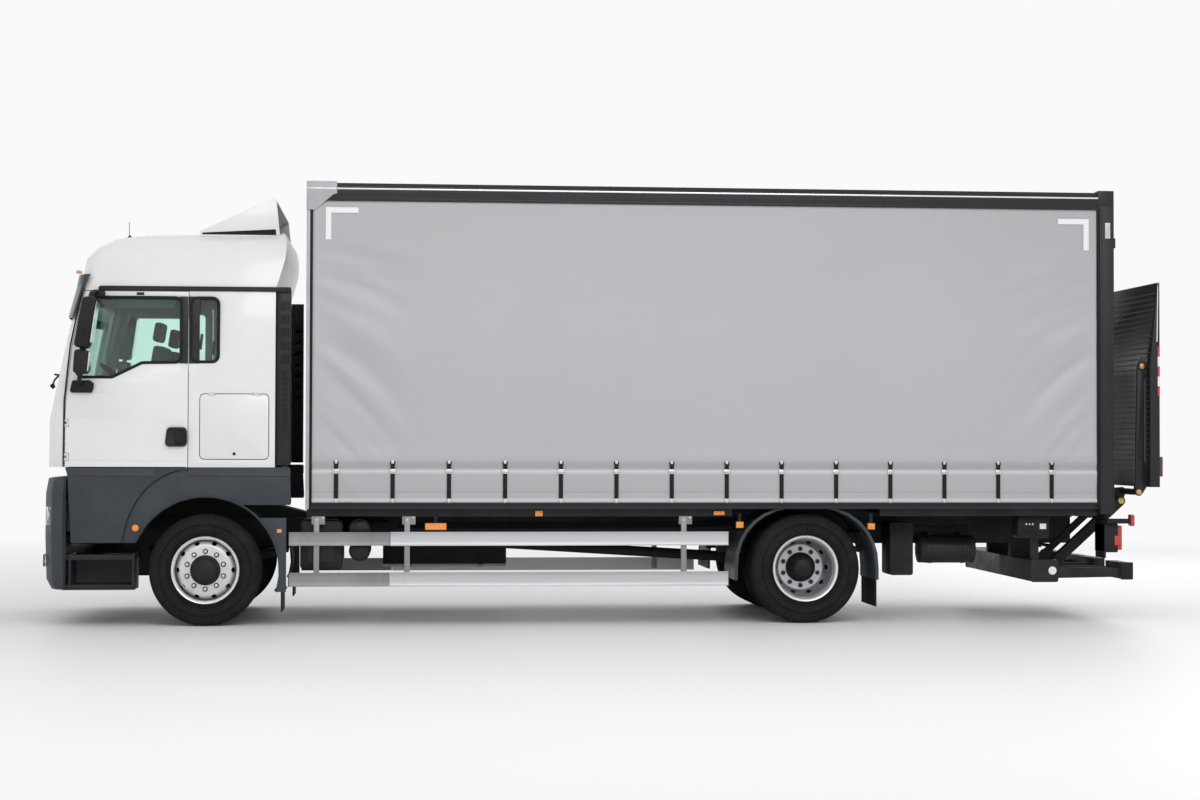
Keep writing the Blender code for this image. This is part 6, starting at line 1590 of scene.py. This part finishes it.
# Tail lift
PLATFORM_FACE = 8.630
PLATFORM_TIP = 3.133
PLATFORM_HALF = 1.160
PLATFORM_THINS = 2.350
PLATFORM_HINGE = (8.550, 1.190)
ARM_PIN = (8.585, 2.360)
LIFT_REAR = 8.720
ARM_BASE = (7.860, 0.520)
ARM_HEAD = (8.500, 1.100)
SIDE_ARM_Y = 1.045
ARM_OUT = 0.720
RIBS = 36
RIB_PITCH = 0.050
RIB_FIRST = 1.285
# Red and white bands: count, pitch up the platform's side edge and across its rear face
BANDS = 5
BAND_TALL = 0.092
BAND_WIDE = 0.14


def platform_face():
    """Grip ribs over the platform's loading face, the bright edges of its tip, and a painted highlight along
    its side edge.
    """
    ribs = []
    slope = (LIFT_REAR - 0.018 - PLATFORM_FACE) / (PLATFORM_TIP - PLATFORM_THINS)
    for i in range(RIBS):
        z = RIB_FIRST + RIB_PITCH * i
        x = PLATFORM_FACE + max(0.0, z - PLATFORM_THINS) * slope
        ribs.append(cuboid((x - 0.0035, x + 0.004), (-1.140, 1.140), about(z, 0.006), 0.0015, 1))
    fit(gathered(ribs), "platform_ribs", "body_black", "loading_platform")
    inner, outer, thin = LIFT_REAR - 0.0185, LIFT_REAR + 0.001, LIFT_REAR - 0.012
    outline = [(inner, PLATFORM_TIP - 0.20), (inner, PLATFORM_TIP + 0.001), (outer, PLATFORM_TIP + 0.001),
               (outer, PLATFORM_TIP - 0.008), (thin, PLATFORM_TIP - 0.010), (thin, PLATFORM_TIP - 0.20)]
    edge = plate(outline, "y", -PLATFORM_HALF - 0.001, PLATFORM_HALF + 0.001, 0.001, 1)
    fit(edge, "platform_tip_edge", "dull_aluminium", "loading_platform")
    # A painted highlight along the platform's side edge
    outline = [(8.690, 2.585), (8.700, 3.10), (8.7075, 3.10), (8.700, 2.585)]
    side = plate(outline, "y", -PLATFORM_HALF - 0.004, -PLATFORM_HALF + 0.002, 0.001, 1)
    fit_both(side, "platform_side_glint", "wheel_painted_highlight", "loading_platform")


def platform_bands():
    """Red and white reflective bands on the platform's edge and rear face, and its flag lamps."""
    bands = {"reflective_red": [], "reflective_white": []}
    edge = -PLATFORM_HALF
    for i in range(BANDS):
        pieces = bands[("reflective_red", "reflective_white")[i % 2]]
        tall = 2.540 - BAND_TALL * (i + 1), 2.540 - BAND_TALL * i - 0.002
        wide = edge + 0.012 + BAND_WIDE * i, edge + 0.150 + BAND_WIDE * i
        pieces.append(cuboid((8.7015, LIFT_REAR + 0.0015), (edge - 0.0025, edge + 0.010), tall, 0.001, 1))
        pieces.append(cuboid((LIFT_REAR - 0.001, LIFT_REAR + 0.002), wide, (2.900, 3.000), 0.0005, 1))
    for finish, pieces in bands.items():
        fit_both(gathered(pieces), "platform_" + finish, finish, "loading_platform")
    lamp = cuboid((LIFT_REAR - 0.010, LIFT_REAR + 0.034), (-1.150, -1.080), (1.335, 1.520), 0.008, 3)
    fit_both(lamp, "platform_flag_lamp", "dark_red_lens", "loading_platform")


def pin_head(place, y, radius, reach):
    """The head of a pin at an (x, z) place on the left."""
    x, z = place
    return bar((x, y, z), (x, y - reach, z), radius, 20, 0.002)


def boss(place, y, radius):
    """The round boss under a pin's head."""
    x, z = place
    return bar((x, y + 0.004, z), (x, y - 0.006, z), radius, 32, 0.004)


def lift_pins():
    """Pins and bosses of the platform's side arms and of the lift arms."""
    y = -SIDE_ARM_Y - 0.025
    pins = gathered([
        pin_head(PLATFORM_HINGE, y, 0.026, 0.012),
        pin_head(ARM_PIN, y, 0.026, 0.012),
        pin_head(ARM_PIN, y - 0.010, 0.012, 0.012),
        pin_head(PLATFORM_HINGE, y - 0.010, 0.012, 0.012),
    ])
    fit_both(pins, "platform_pins", "brass", "loading_platform")
    outline = [(8.545, 1.50), (8.560, 1.50), (8.598, 2.20), (8.583, 2.20)]
    rod = plate(outline, "y", y - 0.007, y + 0.002, 0.002, 1)
    bosses = gathered([boss(ARM_PIN, y, 0.044), boss(PLATFORM_HINGE, y, 0.036), rod])
    fit_both(bosses, "platform_arm_bosses", "chassis", "loading_platform")
    heads = gathered([pin_head(place, -ARM_OUT, 0.030, 0.014) for place in (ARM_BASE, ARM_HEAD)])
    fit_both(heads, "arm_pin_heads", "brass", "arms")


def lift_base_fittings():
    """The control box's lid, buttons and blank label, and the end caps of the underrun bar and tube."""
    lid = blocks(
        ((7.404, 7.686), (-1.099, -1.094), (0.775, 0.952), 0.003),
        ((7.395, 7.695), (-1.110, -0.900), (0.955, 0.968), 0.004),
        ((7.440, 7.560), (-1.108, -1.095), (0.820, 0.920), 0.004),
    )
    fit(lid, "lift_control_box_lid", "black_plastic")
    knobs = [pin_head((7.470 + 0.030 * i, 0.895), -1.106, 0.009, 0.008) for i in range(3)]
    fit(gathered(knobs), "lift_control_buttons", "zinc")
    label = cuboid((7.600, 7.660), (-1.1005, -1.097), (0.850, 0.900), 0.001)
    fit(label, "lift_control_label", "reflective_white")
    cap = rounded_plate(oblong((8.325, 8.441), (0.389, 0.549)), 0.010, "y", -1.226, -1.214, 0.004)
    fit_both(cap, "underrun_end_cap", "black_plastic")
    tube_end = rounded_plate(oblong((7.500, 7.758), (0.364, 0.570)), 0.020, "y", -1.158, -1.148, 0.004)
    fit_both(tube_end, "lift_tube_end", "chassis")
    reflector = bar((7.700, -1.157, 0.470), (7.700, -1.166, 0.470), 0.038, 32, 0.004)
    fit_both(reflector, "lift_tube_reflector", "reflective_white")


TAIL_LENSES = (
    # finish, outer and inner edge
    ("red_lens", (-1.142, -1.050)),
    ("amber_lens", (-1.047, -0.965)),
    ("lamp_glass", (-0.962, -0.868)),
)


def tail_lamps():
    """Housings, lenses and markers of the tail lamps."""
    housing = blocks(
        ((8.198, 8.325), (-1.152, -0.858), (0.636, 0.904), 0.010, 3),
        ((8.198, 8.217), (-1.132, -0.878), (0.582, 1.028), 0.004),
        ((8.203, 8.428), (-1.205, -1.120), (0.903, 0.947), 0.006),
    )
    fit_both(housing, "tail_lamp_housing", "black_plastic", replaces=["tail_lamp"])
    marker = cuboid((8.424, 8.462), (-1.216, -1.128), (0.880, 0.986), 0.010, 3)
    fit_both(marker, "end_marker_lens", "red_lens")
    lenses = [cuboid((8.322, 8.366), across, (0.658, 0.882), 0.008, 3) for _, across in TAIL_LENSES]
    for lens, (finish, _) in zip(lenses, TAIL_LENSES):
        fit_both(lens, "tail_" + finish, finish)
    mirror = cuboid((8.318, 8.326), (-0.960, -0.870), (0.665, 0.875), 0.002)
    fit_both(mirror, "tail_lamp_mirror", "lamp_chrome")
    side = cuboid((8.290, 8.352), (-1.158, -1.148), (0.700, 0.790), 0.004)
    fit_both(side, "tail_side_reflector", "red_lens")


platform_face()
platform_bands()
lift_pins()
lift_base_fittings()


tail_lamps()


# Small lamps and fittings under the load space
SIDE_LAMPS = (
    # x, z, half length, half height
    (2.040, 0.882, 0.095, 0.030),
    (2.965, 1.000, 0.035, 0.026),
    (4.790, 0.895, 0.034, 0.028),
    (6.000, 0.880, 0.034, 0.028),
    (4.600, 1.003, 0.050, 0.020),
)
REAR_TANK = [(0.0, -0.260), (0.060, -0.258), (0.110, -0.240), (0.128, -0.210), (0.131, -0.200),
             (0.131, 0.200), (0.128, 0.210), (0.110, 0.240), (0.060, 0.258), (0.0, 0.260)]
TANK_BAND = [(0.129, -0.016), (0.1345, -0.016), (0.1345, 0.016), (0.129, 0.016), (0.129, -0.016)]
SIDE_TANK = [(0.0, -1.075), (0.050, -1.072), (0.082, -1.058), (0.0965, -1.030), (0.0965, -0.520),
             (0.0, -0.520)]
BRAKE_LINES = (0.885, 0.865, 0.845)


def side_lamps():
    """Amber lamps along the body with their holders."""
    lamps, holders = [], []
    for x, z, half, rise in SIDE_LAMPS:
        lamps.append(cuboid(about(x, half), (-1.196, -1.178), about(z, rise), 0.006, 3))
        across, up = (x - half - 0.006, x + half + 0.006), (z - rise - 0.006, z + rise + 0.006)
        holders.append(cuboid(across, (-1.181, -1.170), up, 0.003))
        holders.append(cuboid(about(x, 0.015), (-1.180, -1.168), (z, 1.000), 0.002))
    fit_both(gathered(lamps), "side_lamp_lenses", "amber_lens")
    fit_both(gathered(holders), "side_lamp_holders", "black_plastic")


def underbody_details():
    """Air tanks, brake lines and the battery box's lid."""
    tank = [turned(REAR_TANK, (6.833, -0.62, 0.645), "x", 48)]
    tank += [turned(TANK_BAND, (x, -0.62, 0.645), "x", 48) for x in (6.68, 6.99)]
    fit(gathered(tank), "rear_air_tank", "body_black")
    tanks = [turned(SIDE_TANK, (1.36, 0, z), "y", 40) for z in (0.66, 0.86)]
    fit(gathered(tanks), "side_air_tanks", "body_black")
    lines = []
    for i, z in enumerate(BRAKE_LINES):
        points = [(1.70, -0.445, z), (3.0, -0.450, z - 0.01), (4.4, -0.446, z), (4.9, -0.450, z + 0.02)]
        lines.append(pipe(points, 0.007 + 0.001 * i))
    fit(gathered(lines), "brake_lines", "rubber_and_painted_shade")
    battery = gathered([
        cuboid((0.905, 1.135), (-1.108, -1.098), (0.560, 0.800), 0.004),
        bar((0.87, -1.075, 0.945), (1.17, -1.075, 0.945), 0.008, 12),
    ])
    fit(battery, "battery_lid_panel", "trim_black")


side_lamps()


underbody_details()
